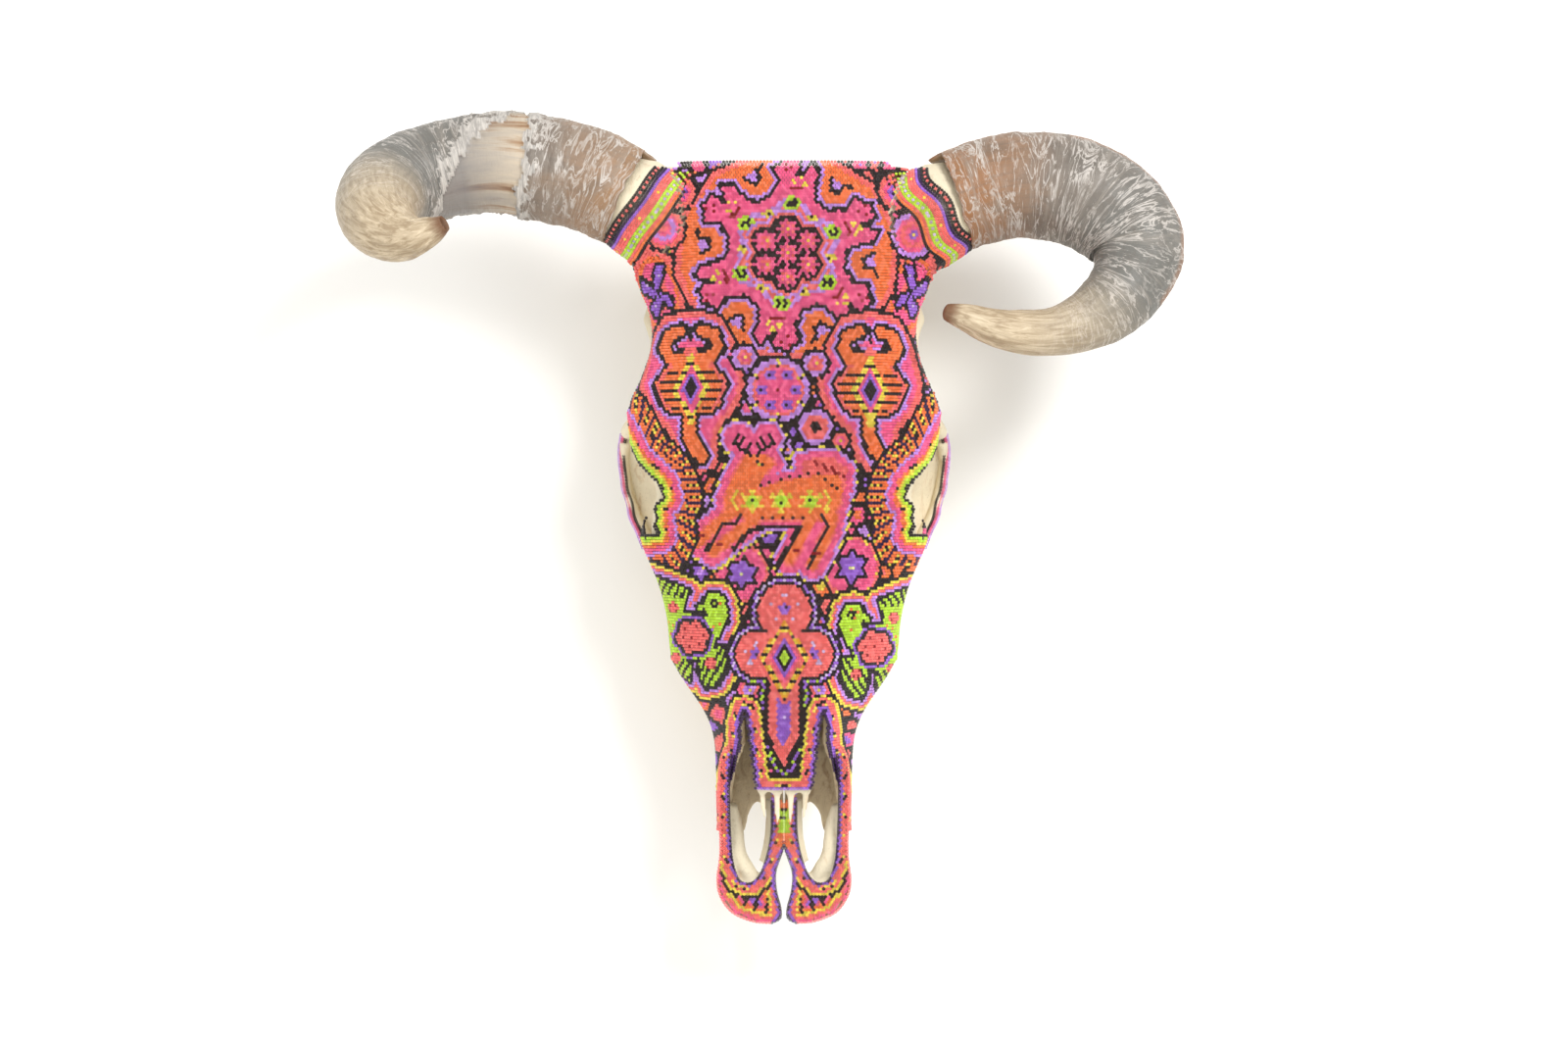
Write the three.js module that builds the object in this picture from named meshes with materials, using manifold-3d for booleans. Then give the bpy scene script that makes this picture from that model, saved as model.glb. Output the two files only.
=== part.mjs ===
// A cattle skull with its horns, the front covered in beads set in wax.
// Millimetres. +X is to the right of someone who looks at the forehead, +Y goes into the skull, +Z is up.
// The skull hangs nose down. "drop" is the distance down from the poll, the ridge between the horns.
import * as THREE from "three";
import { mergeVertices } from "three/addons/utils/BufferGeometryUtils.js";
import Module from "manifold-3d";

const wasm = await Module();
wasm.setup();

// Driving dimensions
const SKULL_LENGTH = 500; // poll to the tip of the incisive bones
const SEAM = 0.35; // open suture between neighbouring bones
const FRONTAL_WALL = 6;
const FACE_WALL = 4;
const COVER_GAP = 1.3; // between the bone and the underside of the wax
const BEAD_COVER = 2; // wax and beads together
const TOOTH_FACE_Y = 141; // the worn faces of the cheek teeth, which lean on the wall
const HOOK = new THREE.Vector3(0, 116, -27); // rim of the foramen magnum, where the skull hangs
const SLIDE_CLEARANCE = 0.6; // between a horn sheath and its bony core
const COVER_LIFT = COVER_GAP + BEAD_COVER; // how far the beads stand out from the bone

// Colours and finishes
const BONE = { color: 0xe6dcc4, roughness: 0.75, metalness: 0 };
const TOOTH = { color: 0xd9cdb0, roughness: 0.4, metalness: 0 };
const HORN = { color: 0x8d8578, roughness: 0.5, metalness: 0 };
const BEADS = { color: 0xe2648c, roughness: 0.25, metalness: 0 };

const RIGHT = 1;
const LEFT = -1;
const SIDES = [
  ["right", RIGHT],
  ["left", LEFT],
];

const { clamp, lerp, smoothstep } = THREE.MathUtils;

function at(x, y, drop) {
  return new THREE.Vector3(x, y, -drop);
}

// ---- The skull's surface ----
// A rail runs down the skull. Each station is [drop, x, y], for the right half.
function rail(stations) {
  const drops = stations.map((station) => station[0]);
  const places = stations.flatMap((station) => station.slice(1));
  const curve = new THREE.CubicInterpolant(drops, places, 2);
  return (drop) => [...curve.evaluate(drop)];
}

const MIDLINE = rail([
  [0, 0, 17], [10, 0, 6], [40, 0, 2], [80, 0, 0], [130, 0, 0], [175, 0, 2],
  [215, 0, 6], [250, 0, 10], [300, 0, 9], [350, 0, 7], [409, 0, 8],
]);
const NASAL_SUTURE = rail([
  [0, 20, 17], [10, 20, 6], [80, 21, 0.6], [175, 20, 2.6], [215, 18, 7], [262, 20, 12.5],
  [300, 24, 14], [345, 26, 12.5], [365, 24.5, 12], [390, 21, 12], [409, 18.5, 11.5],
]);
const BROW = rail([
  [0, 50, 19], [10, 52, 8], [40, 56, 5], [80, 54, 3], [130, 52, 3], [175, 62, 6],
  [215, 56, 11], [250, 54, 20], [300, 50, 29], [335, 42, 32], [365, 37, 33], [400, 38.5, 52], [440, 38.5, 68],
]);
const CREST = rail([
  [0, 78, 27], [10, 84, 25], [40, 98, 29], [61, 100, 36], [86, 88, 36], [105, 83, 35], [127, 86, 34],
  [149, 95, 34], [171, 104, 38], [190, 93, 33], [212, 83, 29], [228, 88, 33], [245, 93, 44], [263, 84, 54],
  [289, 76, 61], [311, 73, 66], [326, 73, 68], [344, 60, 66], [365, 45, 62], [400, 42, 64], [440, 41.5, 72],
]);
const FLANK = rail([
  [0, 58, 62], [40, 60, 62], [86, 60, 62], [127, 60, 64], [171, 60, 66], [212, 56, 66],
  [240, 63, 88], [262, 66, 112], [300, 62, 120], [350, 54, 118], [385, 45, 106], [410, 42, 94], [440, 39, 84],
]);
const RAILS = [MIDLINE, NASAL_SUTURE, BROW, CREST, FLANK];
const ON_SUTURE = 1;
const ON_BROW = 2;
const ON_CREST = 3;
const ON_FLANK = 4;

// The point at a drop, across counting rails from the midline; negative across is the left half.
function skullSurface(across, drop) {
  const right = RAILS.map((line) => line(drop)).map(([x, y]) => at(x, y, drop));
  const left = right.slice(1).map((p) => new THREE.Vector3(-p.x, p.y, p.z)).reverse();
  const section = new THREE.CatmullRomCurve3([...left, ...right]);
  return section.getPoint(clamp((across + ON_FLANK) / (2 * ON_FLANK), 0, 1));
}

// ---- Closed bodies ----
function bodyFrom(points, triangles) {
  const geometry = new THREE.BufferGeometry().setFromPoints(points);
  geometry.setIndex(triangles);
  return geometry;
}

// Triangles of a grid of rows and columns; flipped turns them round.
function gridTriangles(columns, rows, first, flipped) {
  const triangles = [];
  for (let row = 0; row < rows; row++) {
    for (let column = 0; column < columns; column++) {
      const a = first + row * (columns + 1) + column;
      const b = a + 1;
      const c = a + columns + 1;
      const d = c + 1;
      triangles.push(...(flipped ? [a, b, c, b, d, c] : [a, c, b, b, c, d]));
    }
  }
  return triangles;
}

// A curved plate of even thickness. pointAt(p, q) is its outer face, with p running to the right and q down
// the skull, so that the outer normal is forward. grid holds rows of [p, q], the corners of its cells.
function plate(pointAt, grid, { wall, lift = 0, seam = SEAM / 2 }) {
  const STEP = 1e-2;
  const outer = [];
  const inner = [];
  const lastRow = grid.length - 1;
  const lastColumn = grid[0].length - 1;
  grid.forEach((line, row) => {
    line.forEach(([p, q], column) => {
      const alongP = pointAt(p + STEP, q).sub(pointAt(p - STEP, q)).divideScalar(2 * STEP);
      const alongQ = pointAt(p, q + STEP).sub(pointAt(p, q - STEP)).divideScalar(2 * STEP);
      const inwardP = (column === 0) - (column === lastColumn);
      const inwardQ = (row === 0) - (row === lastRow);
      const shiftP = (inwardP * seam) / alongP.length();
      const shiftQ = (inwardQ * seam) / alongQ.length();
      const point = pointAt(p + shiftP, q + shiftQ);
      const normal = alongQ.cross(alongP).normalize();
      outer.push(point.clone().addScaledVector(normal, lift));
      inner.push(point.addScaledVector(normal, lift - wall));
    });
  });
  const count = outer.length;
  const width = lastColumn + 1;
  const triangles = [
    ...gridTriangles(lastColumn, lastRow, 0, false),
    ...gridTriangles(lastColumn, lastRow, count, true),
  ];
  const rim = [];
  for (let column = 0; column < lastColumn; column++) rim.push(column);
  for (let row = 0; row < lastRow; row++) rim.push(row * width + lastColumn);
  for (let column = lastColumn; column > 0; column--) rim.push(lastRow * width + column);
  for (let row = lastRow; row > 0; row--) rim.push(row * width);
  rim.forEach((a, i) => {
    const b = rim[(i + 1) % rim.length];
    triangles.push(a, b, a + count, b, b + count, a + count);
  });
  return bodyFrom([...outer, ...inner], triangles);
}

// Corners of evenly spaced cells.
function evenGrid([firstP, lastP], [firstQ, lastQ], [columns, rows]) {
  const line = (from, to, count) => Array.from({ length: count + 1 }, (_, i) => lerp(from, to, i / count));
  return line(firstQ, lastQ, rows).map((q) => line(firstP, lastP, columns).map((p) => [p, q]));
}

const NEARLY_ALONG_Y = 0.95; // a bar steeper than this measures its depth upwards instead

// A round or oval bar along a smooth path of [x, y, drop, half width, half depth], with domed ends.
function bar(stations, { sides = 8, steps = 5 } = {}) {
  const path = new THREE.CatmullRomCurve3(stations.map(([x, y, drop]) => at(x, y, drop)));
  const last = stations.length - 1;
  const sizes = stations.map(([, , , width, depth = width]) => [width, depth]);
  const size = new THREE.CubicInterpolant([...sizes.keys()], sizes.flat(), 2);
  const points = [];
  const frame = new THREE.Vector3();
  for (let step = 0; step <= steps; step++) {
    const along = step / steps;
    const [width, depth] = size.evaluate(along * last);
    const centre = path.getPoint(along);
    const tangent = path.getTangent(along);
    const deep = frame.set(0, 1, 0).projectOnPlane(tangent).normalize().clone();
    if (Math.abs(tangent.y) > NEARLY_ALONG_Y) deep.set(0, 0, 1).projectOnPlane(tangent).normalize();
    const wide = new THREE.Vector3().crossVectors(deep, tangent).normalize();
    for (let side = 0; side < sides; side++) {
      const turn = (2 * Math.PI * side) / sides;
      points.push(
        centre
          .clone()
          .addScaledVector(wide, width * Math.cos(turn))
          .addScaledVector(deep, depth * Math.sin(turn)),
      );
    }
  }
  return closedRings(points, sides, steps, path.getPoint(0), path.getPoint(1));
}

// Rings of equally many points, closed by a fan at each end.
function closedRings(points, sides, steps, start, end) {
  const triangles = [];
  for (let step = 0; step < steps; step++) {
    for (let side = 0; side < sides; side++) {
      const a = step * sides + side;
      const b = step * sides + ((side + 1) % sides);
      triangles.push(a, b, a + sides, b, b + sides, a + sides);
    }
  }
  const first = points.length;
  const lastRing = steps * sides;
  for (let side = 0; side < sides; side++) {
    const next = (side + 1) % sides;
    triangles.push(first, next, side);
    triangles.push(first + 1, lastRing + side, lastRing + next);
  }
  return bodyFrom([...points, start, end], triangles);
}

// A rounded lump: a sphere stretched to three half sizes.
function lump(x, y, drop, halfX, halfY, halfZ) {
  const centre = at(x, y, drop);
  return new THREE.SphereGeometry(1, 9, 6)
    .scale(halfX, halfY, halfZ)
    .translate(centre.x, centre.y, centre.z);
}

// ---- Joining and cutting ----
function toSolid(geometry) {
  const bare = geometry.clone();
  bare.deleteAttribute("normal");
  bare.deleteAttribute("uv");
  const merged = mergeVertices(bare, 1e-3);
  const triVerts = new Uint32Array(merged.index.array);
  const vertProperties = merged.attributes.position.array;
  const solid = new wasm.Manifold(new wasm.Mesh({ numProp: 3, vertProperties, triVerts }));
  if (solid.volume() >= 0) return solid;
  for (let i = 0; i < triVerts.length; i += 3) {
    [triVerts[i + 1], triVerts[i + 2]] = [triVerts[i + 2], triVerts[i + 1]];
  }
  return new wasm.Manifold(new wasm.Mesh({ numProp: 3, vertProperties, triVerts }));
}

function toGeometry(solid) {
  const mesh = solid.getMesh();
  const geometry = new THREE.BufferGeometry();
  geometry.setAttribute("position", new THREE.BufferAttribute(mesh.vertProperties, 3));
  geometry.setIndex([...mesh.triVerts]);
  return geometry;
}

function join(...geometries) {
  return toGeometry(geometries.map(toSolid).reduce((whole, piece) => whole.add(piece)));
}

function cut(geometry, ...tools) {
  return toGeometry(tools.map(toSolid).reduce((whole, tool) => whole.subtract(tool), toSolid(geometry)));
}

// The same body on the other side of the midline.
function mirrored(geometry, side) {
  if (side === RIGHT) return geometry;
  const other = geometry.clone().scale(-1, 1, 1);
  const index = other.index.array;
  for (let i = 0; i < index.length; i += 3) {
    [index[i + 1], index[i + 2]] = [index[i + 2], index[i + 1]];
  }
  return other;
}

const skull = new THREE.Group();
skull.position.copy(HOOK).negate();

function addPiece(name, geometry, finish) {
  geometry.computeVertexNormals();
  const piece = new THREE.Mesh(geometry, new THREE.MeshStandardMaterial(finish));
  piece.name = name;
  skull.add(piece);
}

// Every plate on the skull has its corners on these lines, so bones and beads lie parallel.
const ACROSS_LINES = [0, 0.5, 1, 1.5, 2, 2.5, 2.8, 3, 3.2, 3.6, 4];
const DROP_SPACING = 18;
const LEAST_ACROSS = 0.06; // a line closer than this to the edge of a plate is left out
const POLL_LINE = 8; // one more line, where the forehead bends over the poll
const DROP_LINES = [
  POLL_LINE,
  ...Array.from({ length: Math.floor(SKULL_LENGTH / DROP_SPACING) }, (_, i) => (i + 1) * DROP_SPACING),
];

function linesBetween(lines, from, to, clearance) {
  return lines.filter((line) => line > from + clearance && line < to - clearance);
}

// The lines across, with those of the right half squeezed so that they start at an edge.
function acrossLines(near, far) {
  const lines = [...ACROSS_LINES.slice(1).map((line) => -line).reverse(), ...ACROSS_LINES];
  const squeezed = near > ON_SUTURE && near < ON_BROW;
  const inside = linesBetween(lines, squeezed ? ON_SUTURE : near, far, LEAST_ACROSS);
  const placed = inside.map((line) =>
    squeezed && line < ON_BROW ? lerp(near, ON_BROW, line - ON_SUTURE) : line,
  );
  return [near, ...placed, far];
}

// A plate on the skull's surface. Its near edge across may depend on the drop, and its top and bottom on
// the place across.
function skullPlate({ across: [near, far], drop: [top, bottom], ...options }) {
  const value = (limit, place) => (typeof limit === "function" ? limit(place) : limit);
  const corners = [near, far].flatMap((limit) => [value(limit, 0), value(limit, SKULL_LENGTH)]).map(Math.abs);
  const highest = Math.max(...corners.map((across) => value(top, across)));
  const lowest = Math.min(...corners.map((across) => value(bottom, across)));
  const drops = [top, ...linesBetween(DROP_LINES, highest, lowest, DROP_SPACING / 4), bottom];
  const grid = drops.map((drop) => {
    const edge = value(near, value(drop, 0));
    return acrossLines(edge, far).map((line) => [line, value(drop, Math.abs(line))]);
  });
  return plate(skullSurface, grid, options);
}

// ---- Horns ----
// [x, y, drop, radius] along the middle of each horn, from inside the skull to the tip.
const HORN_PATHS = {
  right: [
    [84, 33, 41, 33], [112, 30, 23, 33.5], [140, 29, 14, 34.5], [168, 27, 13, 35], [196, 24, 19, 35.5],
    [219, 19, 35, 34], [230, 13, 56, 31], [224, 7, 78, 26], [210, 2, 94, 23], [192, -3, 105, 19],
    [173, -7, 110.5, 15.8], [153, -10, 111, 14.6], [133, -12, 107.5, 12], [118, -13, 102, 9.5],
    [105, -14, 98.5, 6],
  ],
  left: [
    [-78, 33, 38, 33], [-103, 31, 20, 33.5], [-130, 31, 8, 34.5], [-157, 31, 1.5, 34.8], [-186, 30, -2, 34],
    [-216, 28, 1, 32.5], [-242, 19, 9, 31.5], [-258, -1, 21, 29.5], [-260, -26, 35, 26],
    [-252, -49, 47, 21.5], [-240, -64, 54, 17], [-229, -73, 55, 12.5], [-219, -78, 52, 9],
    [-211, -81, 48, 5.5],
  ],
};
const SHEATH_STARTS_AT = 1; // the station where the keratin begins; the beaded collar lies before it
const CORE_LENGTH = 88;
const CORE_BASE_RADIUS = 26;
const CORE_TIP_RADIUS = 9;
const PEDICLE_RADII = [25, 31, 29];
const CORE_RISE = { right: 0.115, left: 0.235 }; // climb of the core per unit of its run outwards
const RING_SIDES = 14;

function hornStart(sideName) {
  const [x, y, drop] = HORN_PATHS[sideName][SHEATH_STARTS_AT];
  return { x, y, drop, out: Math.sign(x), rise: CORE_RISE[sideName] };
}

// A point on the straight middle line of a bony core, at a distance out from the sheath's mouth.
function coreStation(sideName, run, radius) {
  const { x, y, drop, out, rise } = hornStart(sideName);
  const unit = 1 / Math.hypot(1, rise);
  return [x + out * run * unit, y, drop - run * rise * unit, radius];
}

// The tapered core, and with growth the cavity of the sheath that fits over it.
function coreTaper(sideName, growth, from) {
  const radiusAt = (run) => lerp(CORE_BASE_RADIUS, CORE_TIP_RADIUS, run / CORE_LENGTH) + growth;
  const tip = CORE_LENGTH + growth;
  const runs = [from, CORE_LENGTH * 0.5, CORE_LENGTH, tip + 3];
  const stations = runs.map((run) => coreStation(sideName, run, Math.max(radiusAt(run), 0.5)));
  stations.at(-1)[3] = 4 + growth;
  return bar(stations, { sides: RING_SIDES, steps: 6 });
}

// The bony root of a horn, from inside the frontal bone to the sheath's mouth.
// growth widens it and reach lengthens it at both ends, so that it makes a tool to cut with.
function pedicle(sideName, growth, reach = 0) {
  const [inside, mouth] = HORN_PATHS[sideName];
  const { out } = hornStart(sideName);
  const roots = [
    [inside[0] - out * (14 + reach * 4), inside[1] + 8 + reach, inside[2] + 6 + reach],
    [inside[0] + out * 6, inside[1] + 1, inside[2] - 5],
    [mouth[0] + out * reach, mouth[1], mouth[2] - reach / 2],
  ];
  const stations = roots.map((place, i) => [...place, PEDICLE_RADII[i] + growth]);
  return bar(stations, { sides: RING_SIDES, steps: 4 });
}

function hornSheath(sideName) {
  const stations = HORN_PATHS[sideName].slice(SHEATH_STARTS_AT);
  const outside = bar(stations, { sides: RING_SIDES, steps: 19 });
  return cut(outside, coreTaper(sideName, SLIDE_CLEARANCE, -14), pedicle(sideName, COVER_LIFT + SEAM, SEAM));
}

// ---- Bones of the forehead ----
const ROOT_OF_NOSE = 243;
const LOWER_EDGE_OF_FRONTAL = (across) => lerp(ROOT_OF_NOSE, 224, smoothstep(across, 1.2, 3.2));

function frontalPlate(growth) {
  return skullPlate({
    across: [0, ON_FLANK],
    drop: [0, LOWER_EDGE_OF_FRONTAL],
    wall: FRONTAL_WALL + 2 * growth,
    lift: growth,
    seam: SEAM / 2 - growth,
  });
}

// The stub behind the orbit that meets the zygomatic bone.
function postorbitalBar(side, growth = 0) {
  const places = [[94, 43, 163, 5.5], [102, 54, 171, 5.5], [104.5, 61, 175, 5]];
  return mirrored(bar(places.map(([x, y, drop, radius]) => [x, y, drop, radius + growth])), side);
}

function frontalBone(sideName, side) {
  return join(
    mirrored(frontalPlate(0), side),
    pedicle(sideName, 0),
    coreTaper(sideName, 0, -3),
    postorbitalBar(side),
  );
}

// ---- Bones of the back of the head ----
const NUCHAL_WALL = 8;
const NUCHAL_SAG = 8; // the poll is lower at its sides than in the middle
const PARIETAL_BACK = 62;
const NUCHAL_HALF_WIDTH = rail([[30, 45, 4], [62, 50, 11], [100, 47, 21], [124, 36, 29]]);

function nuchalPlate(top, bottom, cells) {
  const pointAt = (side, y) => {
    const [half, drop] = NUCHAL_HALF_WIDTH(y);
    return at(half * side, y, drop + NUCHAL_SAG * side * side);
  };
  return plate(pointAt, evenGrid([-1, 1], [top, bottom], cells), { wall: -NUCHAL_WALL });
}

const HOLE_SIDES = 16;
const FORAMEN_MAGNUM = { y: 100, radiusX: 18, radiusY: 16, from: -10, to: 70 };

function foramenMagnum() {
  const { y, radiusX, radiusY, from, to } = FORAMEN_MAGNUM;
  return new THREE.CylinderGeometry(1, 1, to - from, HOLE_SIDES)
    .rotateX(Math.PI / 2)
    .scale(radiusX, radiusY, 1)
    .translate(0, y, -(from + to) / 2);
}

function occipitalBone() {
  const halves = SIDES.flatMap(([, side]) => [
    lump(side * 25, 116, 25, 12, 17, 15),
    bar([[side * 44, 108, 34, 9, 8], [side * 48, 124, 44, 6, 9], [side * 47, 140, 56, 3.5, 6]], { steps: 6 }),
  ]);
  const base = bar([[0, 124, 38, 19, 6], [0, 122, 60, 16, 8], [0, 119, 86, 13, 9]], { steps: 6 });
  return cut(join(nuchalPlate(PARIETAL_BACK, 124, [8, 4]), base, ...halves), foramenMagnum());
}

// The side wall of the braincase, from the frontal bone round to the base.
function braincaseSurface(around, drop) {
  const swell = smoothstep(drop, 20, 70) * (1 - smoothstep(drop, 120, 175) * 0.25);
  const section = new THREE.CatmullRomCurve3([
    at(lerp(54, 57, swell), 71, drop),
    at(lerp(50, 62, swell), 88, drop),
    at(lerp(40, 52, swell), 106, drop),
    at(27, lerp(112, 115, swell), drop),
  ]);
  return section.getPoint(clamp(around, 0, 1));
}

function temporalBone(side) {
  const wall = plate(braincaseSurface, evenGrid([0, 1], [46, 168], [5, 6]), { wall: 5 });
  const arch = bar(
    [
      [58, 96, 84, 9, 8], [78, 96, 84, 8, 8], [90, 95, 90, 6, 8], [86, 92, 112, 4.5, 7],
      [85, 90, 140, 4.5, 6],
    ],
    { steps: 7 },
  );
  const ear = lump(50, 112, 70, 9, 14, 9);
  return mirrored(join(wall, arch, ear), side);
}

function sphenoidBone() {
  const base = bar([[0, 116, 91, 13, 7], [0, 111, 130, 11, 6], [0, 105, 185, 8, 5]], { steps: 6 });
  const wings = SIDES.map(([, side]) =>
    bar([[side * 6, 112, 130, 6, 5], [side * 20, 118, 165, 3, 8], [side * 23, 122, 205, 2, 8]], { steps: 6 }),
  );
  return join(base, ...wings);
}

// ---- Bones of the face ----
function lacrimalBone(side) {
  return mirrored(
    skullPlate({
      across: [1.45, 3],
      drop: [LOWER_EDGE_OF_FRONTAL, 284],
      wall: FACE_WALL,
      seam: 2 * SEAM,
    }),
    side,
  );
}

function zygomaticBone(side) {
  const cheek = skullPlate({ across: [ON_CREST, 3.38], drop: [243, 283], wall: FACE_WALL });
  const orbitRim = bar(
    [
      [105.5, 67, 178, 4.5, 6], [107, 78, 188, 4, 8], [106, 86, 206, 4, 9], [101, 84, 226, 4.5, 10],
      [92, 70, 244, 4.5, 8], [86, 64, 254, 3.5, 6],
    ],
    { steps: 9 },
  );
  const arch = bar(
    [[105, 84, 192, 4.5, 6], [96, 88, 168, 4.5, 6.5], [85.5, 90, 143.5, 4.5, 6]],
    { steps: 6 },
  );
  const room = skullPlate({
    across: [2.4, ON_CREST],
    drop: [222, 300],
    wall: FACE_WALL + 4,
    lift: 2,
    seam: -SEAM,
  });
  return mirrored(cut(join(cheek, orbitRim, arch), room), side);
}

// The nose opens as a narrow slot beside the nasal bones, and widens lower down.
const NOSE_SLOT = { width: 0.2, from: 348, to: 360 };
const NOSE_OPENING = { width: 0.7, from: 372, to: 408 };
const edgeOfNoseOpening = (drop) =>
  [NOSE_SLOT, NOSE_OPENING].reduce(
    (edge, { width, from, to }) => edge + width * smoothstep(drop, from, to),
    ON_SUTURE,
  );
const MAXILLA_END = 440;
const PALATE_FISSURE = { x: 17.5, drop: 447, radiusX: 9, radiusDrop: 26 };

// The rounded end of the gap between the palate and the incisive bone.
function palateFissure() {
  const { x, drop, radiusX, radiusDrop } = PALATE_FISSURE;
  const depth = 60;
  return new THREE.CylinderGeometry(1, 1, depth, HOLE_SIDES)
    .scale(radiusX, 1, radiusDrop)
    .translate(x, palateDepth(drop), -drop);
}

function palateDepth(drop) {
  return lerp(100, 73, smoothstep(drop, 350, 450));
}

function maxillaBone(side) {
  const face = skullPlate({ across: [edgeOfNoseOpening, 3.42], drop: [284, MAXILLA_END], wall: FACE_WALL });
  const toothWall = skullPlate({
    across: [3.3, 3.98],
    drop: [285, MAXILLA_END],
    wall: FACE_WALL - 1,
    lift: -0.5,
  });
  const tuber = skullPlate({ across: [3.45, 3.98], drop: [257, 300], wall: FACE_WALL });
  const reach = (drop) => FLANK(drop)[0] - 1.5;
  const palate = plate(
    (a, drop) => at(a * reach(drop), palateDepth(drop) - 0.004 * (a * reach(drop)) ** 2, drop),
    evenGrid([0, 1], [302, MAXILLA_END], [3, 6]),
    { wall: FACE_WALL },
  );
  const toothBed = plate(
    (inward, drop) => at(reach(drop) + inward, 93, drop),
    evenGrid([-27, 0], [250, 330], [2, 3]),
    { wall: FACE_WALL + 2 },
  );
  return mirrored(join(face, toothWall, tuber, cut(palate, palateFissure()), toothBed), side);
}

function nasalBone(side) {
  const roof = skullPlate({ across: [0, ON_SUTURE], drop: [ROOT_OF_NOSE, 409], wall: FACE_WALL });
  const forks = [
    [[4.5, 11, 402, 3, 2], [4.5, 12, 416, 2.4, 1.8], [4, 13, 430, 1, 1]],
    [[14, 12.5, 402, 3, 2], [14, 13.5, 414, 2.4, 1.8], [12.5, 14.5, 427, 1, 1]],
  ].map((stations) => bar(stations, { sides: 6, steps: 3 }));
  return mirrored(join(roof, ...forks), side);
}

// The incisive bone seen from the front: a U of two bars joined at the tip. [x, drop] round its outline.
const INCISIVE_OUTSIDE = [
  [38.5, 381], [41.2, 388], [42.5, 400], [42.5, 425], [42, 452], [44, 470], [42, 482], [34, 493], [20, 499],
  [8, 500], [2.8, 497], [2.6, 490], [5.5, 478], [6, 466], [2, 454], [0.4, 446], [0.4, 420],
];
const INCISIVE_INSIDE = [
  [8, 420], [8.3, 440], [11, 455], [16, 468], [22.5, 473.5], [30, 471], [34.5, 458], [36, 438], [36.5, 410],
  [35.8, 396], [34.8, 385],
];

function smoothLine(corners, divisions) {
  return new THREE.SplineCurve(corners.map(([x, drop]) => new THREE.Vector2(x, drop))).getPoints(divisions);
}

// How far back the front of the incisive bone lies.
function incisiveFront(x, drop) {
  const onSide = lerp(14, 56, smoothstep(drop, 350, 462));
  const onBar = lerp(66, 57, smoothstep(drop, 420, 470));
  const tip = 5 * smoothstep(drop, 470, 500);
  return lerp(onBar, onSide, smoothstep(x, 12, 30)) + tip;
}

// The outer bar is thin at both ends.
function incisiveThickness(x, drop) {
  const upper = lerp(3.6, 11, smoothstep(drop, 384, 425));
  const outer = lerp(upper, 5, smoothstep(drop, 470, 500));
  return lerp(7, outer, smoothstep(x, 8, 30));
}

const INCISIVE_FACET = 8; // longest edge, so that the plate follows its curved front

// The U as a plate, its front lifted forward and its back at a set share of the bone's thickness.
function incisivePlate(lift, thickness) {
  const outline = [...smoothLine(INCISIVE_OUTSIDE, 34), ...smoothLine(INCISIVE_INSIDE, 22)];
  const flat = new THREE.ExtrudeGeometry(new THREE.Shape(outline), { depth: 1, bevelEnabled: false });
  const bent = toSolid(flat)
    .refineToLength(INCISIVE_FACET)
    .warp((point) => {
      const [x, drop, share] = point;
      point[1] = incisiveFront(x, drop) - lift + share * thickness(x, drop);
      point[2] = -drop;
    });
  return toGeometry(bent);
}

// Behind the U lie a shelf inside its outer bar and a thin process beside its middle bar.
function incisiveBone(side) {
  const shelf = bar(
    [[34, 52, 420, 2.5, 4], [32, 57, 435, 5, 5], [30.5, 61, 455, 6, 5.5], [22, 63, 470, 6, 5]],
    { steps: 8 },
  );
  const process = bar([[9.5, 71, 418, 2.6, 3], [10.5, 69, 442, 2.6, 3], [14, 66, 460, 3, 3]]);
  return mirrored(join(incisivePlate(0, incisiveThickness), shelf, process), side);
}

// ---- Inside the nose and the throat ----
function palatineBone(side) {
  const shelf = plate((x, drop) => at(x, 97, drop), evenGrid([0, 32], [256, 302], [3, 3]), {
    wall: FACE_WALL,
  });
  const throatWall = bar([[24, 99, 262, 3, 8], [23, 108, 235, 2.5, 10], [22, 106, 214, 2, 9]], { steps: 6 });
  return mirrored(join(shelf, throatWall), side);
}

function vomer() {
  const stations = [[0, 84, 230, 2, 8], [0, 84, 300, 1.6, 8], [0, 80, 370, 1.4, 8], [0, 70, 410, 1.2, 5]];
  return bar(stations);
}

function nasalConcha(side) {
  const scroll = bar([[22, 55, 286, 7, 14], [21, 54, 320, 8, 15], [19, 56, 352, 5, 11]], { steps: 6 });
  const channel = bar([[29, 55, 276, 6, 8], [28, 54, 320, 6, 9], [25, 56, 362, 6, 8]], { steps: 6 });
  return mirrored(cut(scroll, channel), side);
}

// ---- Cheek teeth ----
// Length along the row, and how many lobes each has, from the front premolar back.
const TEETH = [
  ["premolar_2", 16, 1], ["premolar_3", 18, 1], ["premolar_4", 18, 1],
  ["molar_1", 22, 2], ["molar_2", 25, 2], ["molar_3", 26, 2],
];
const TOOTH_WIDTH = 19;
const TOOTH_ROOT_Y = 102;
const TOOTH_ROW_FRONT = 381;
const TOOTH_GAP = 0.5;

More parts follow.
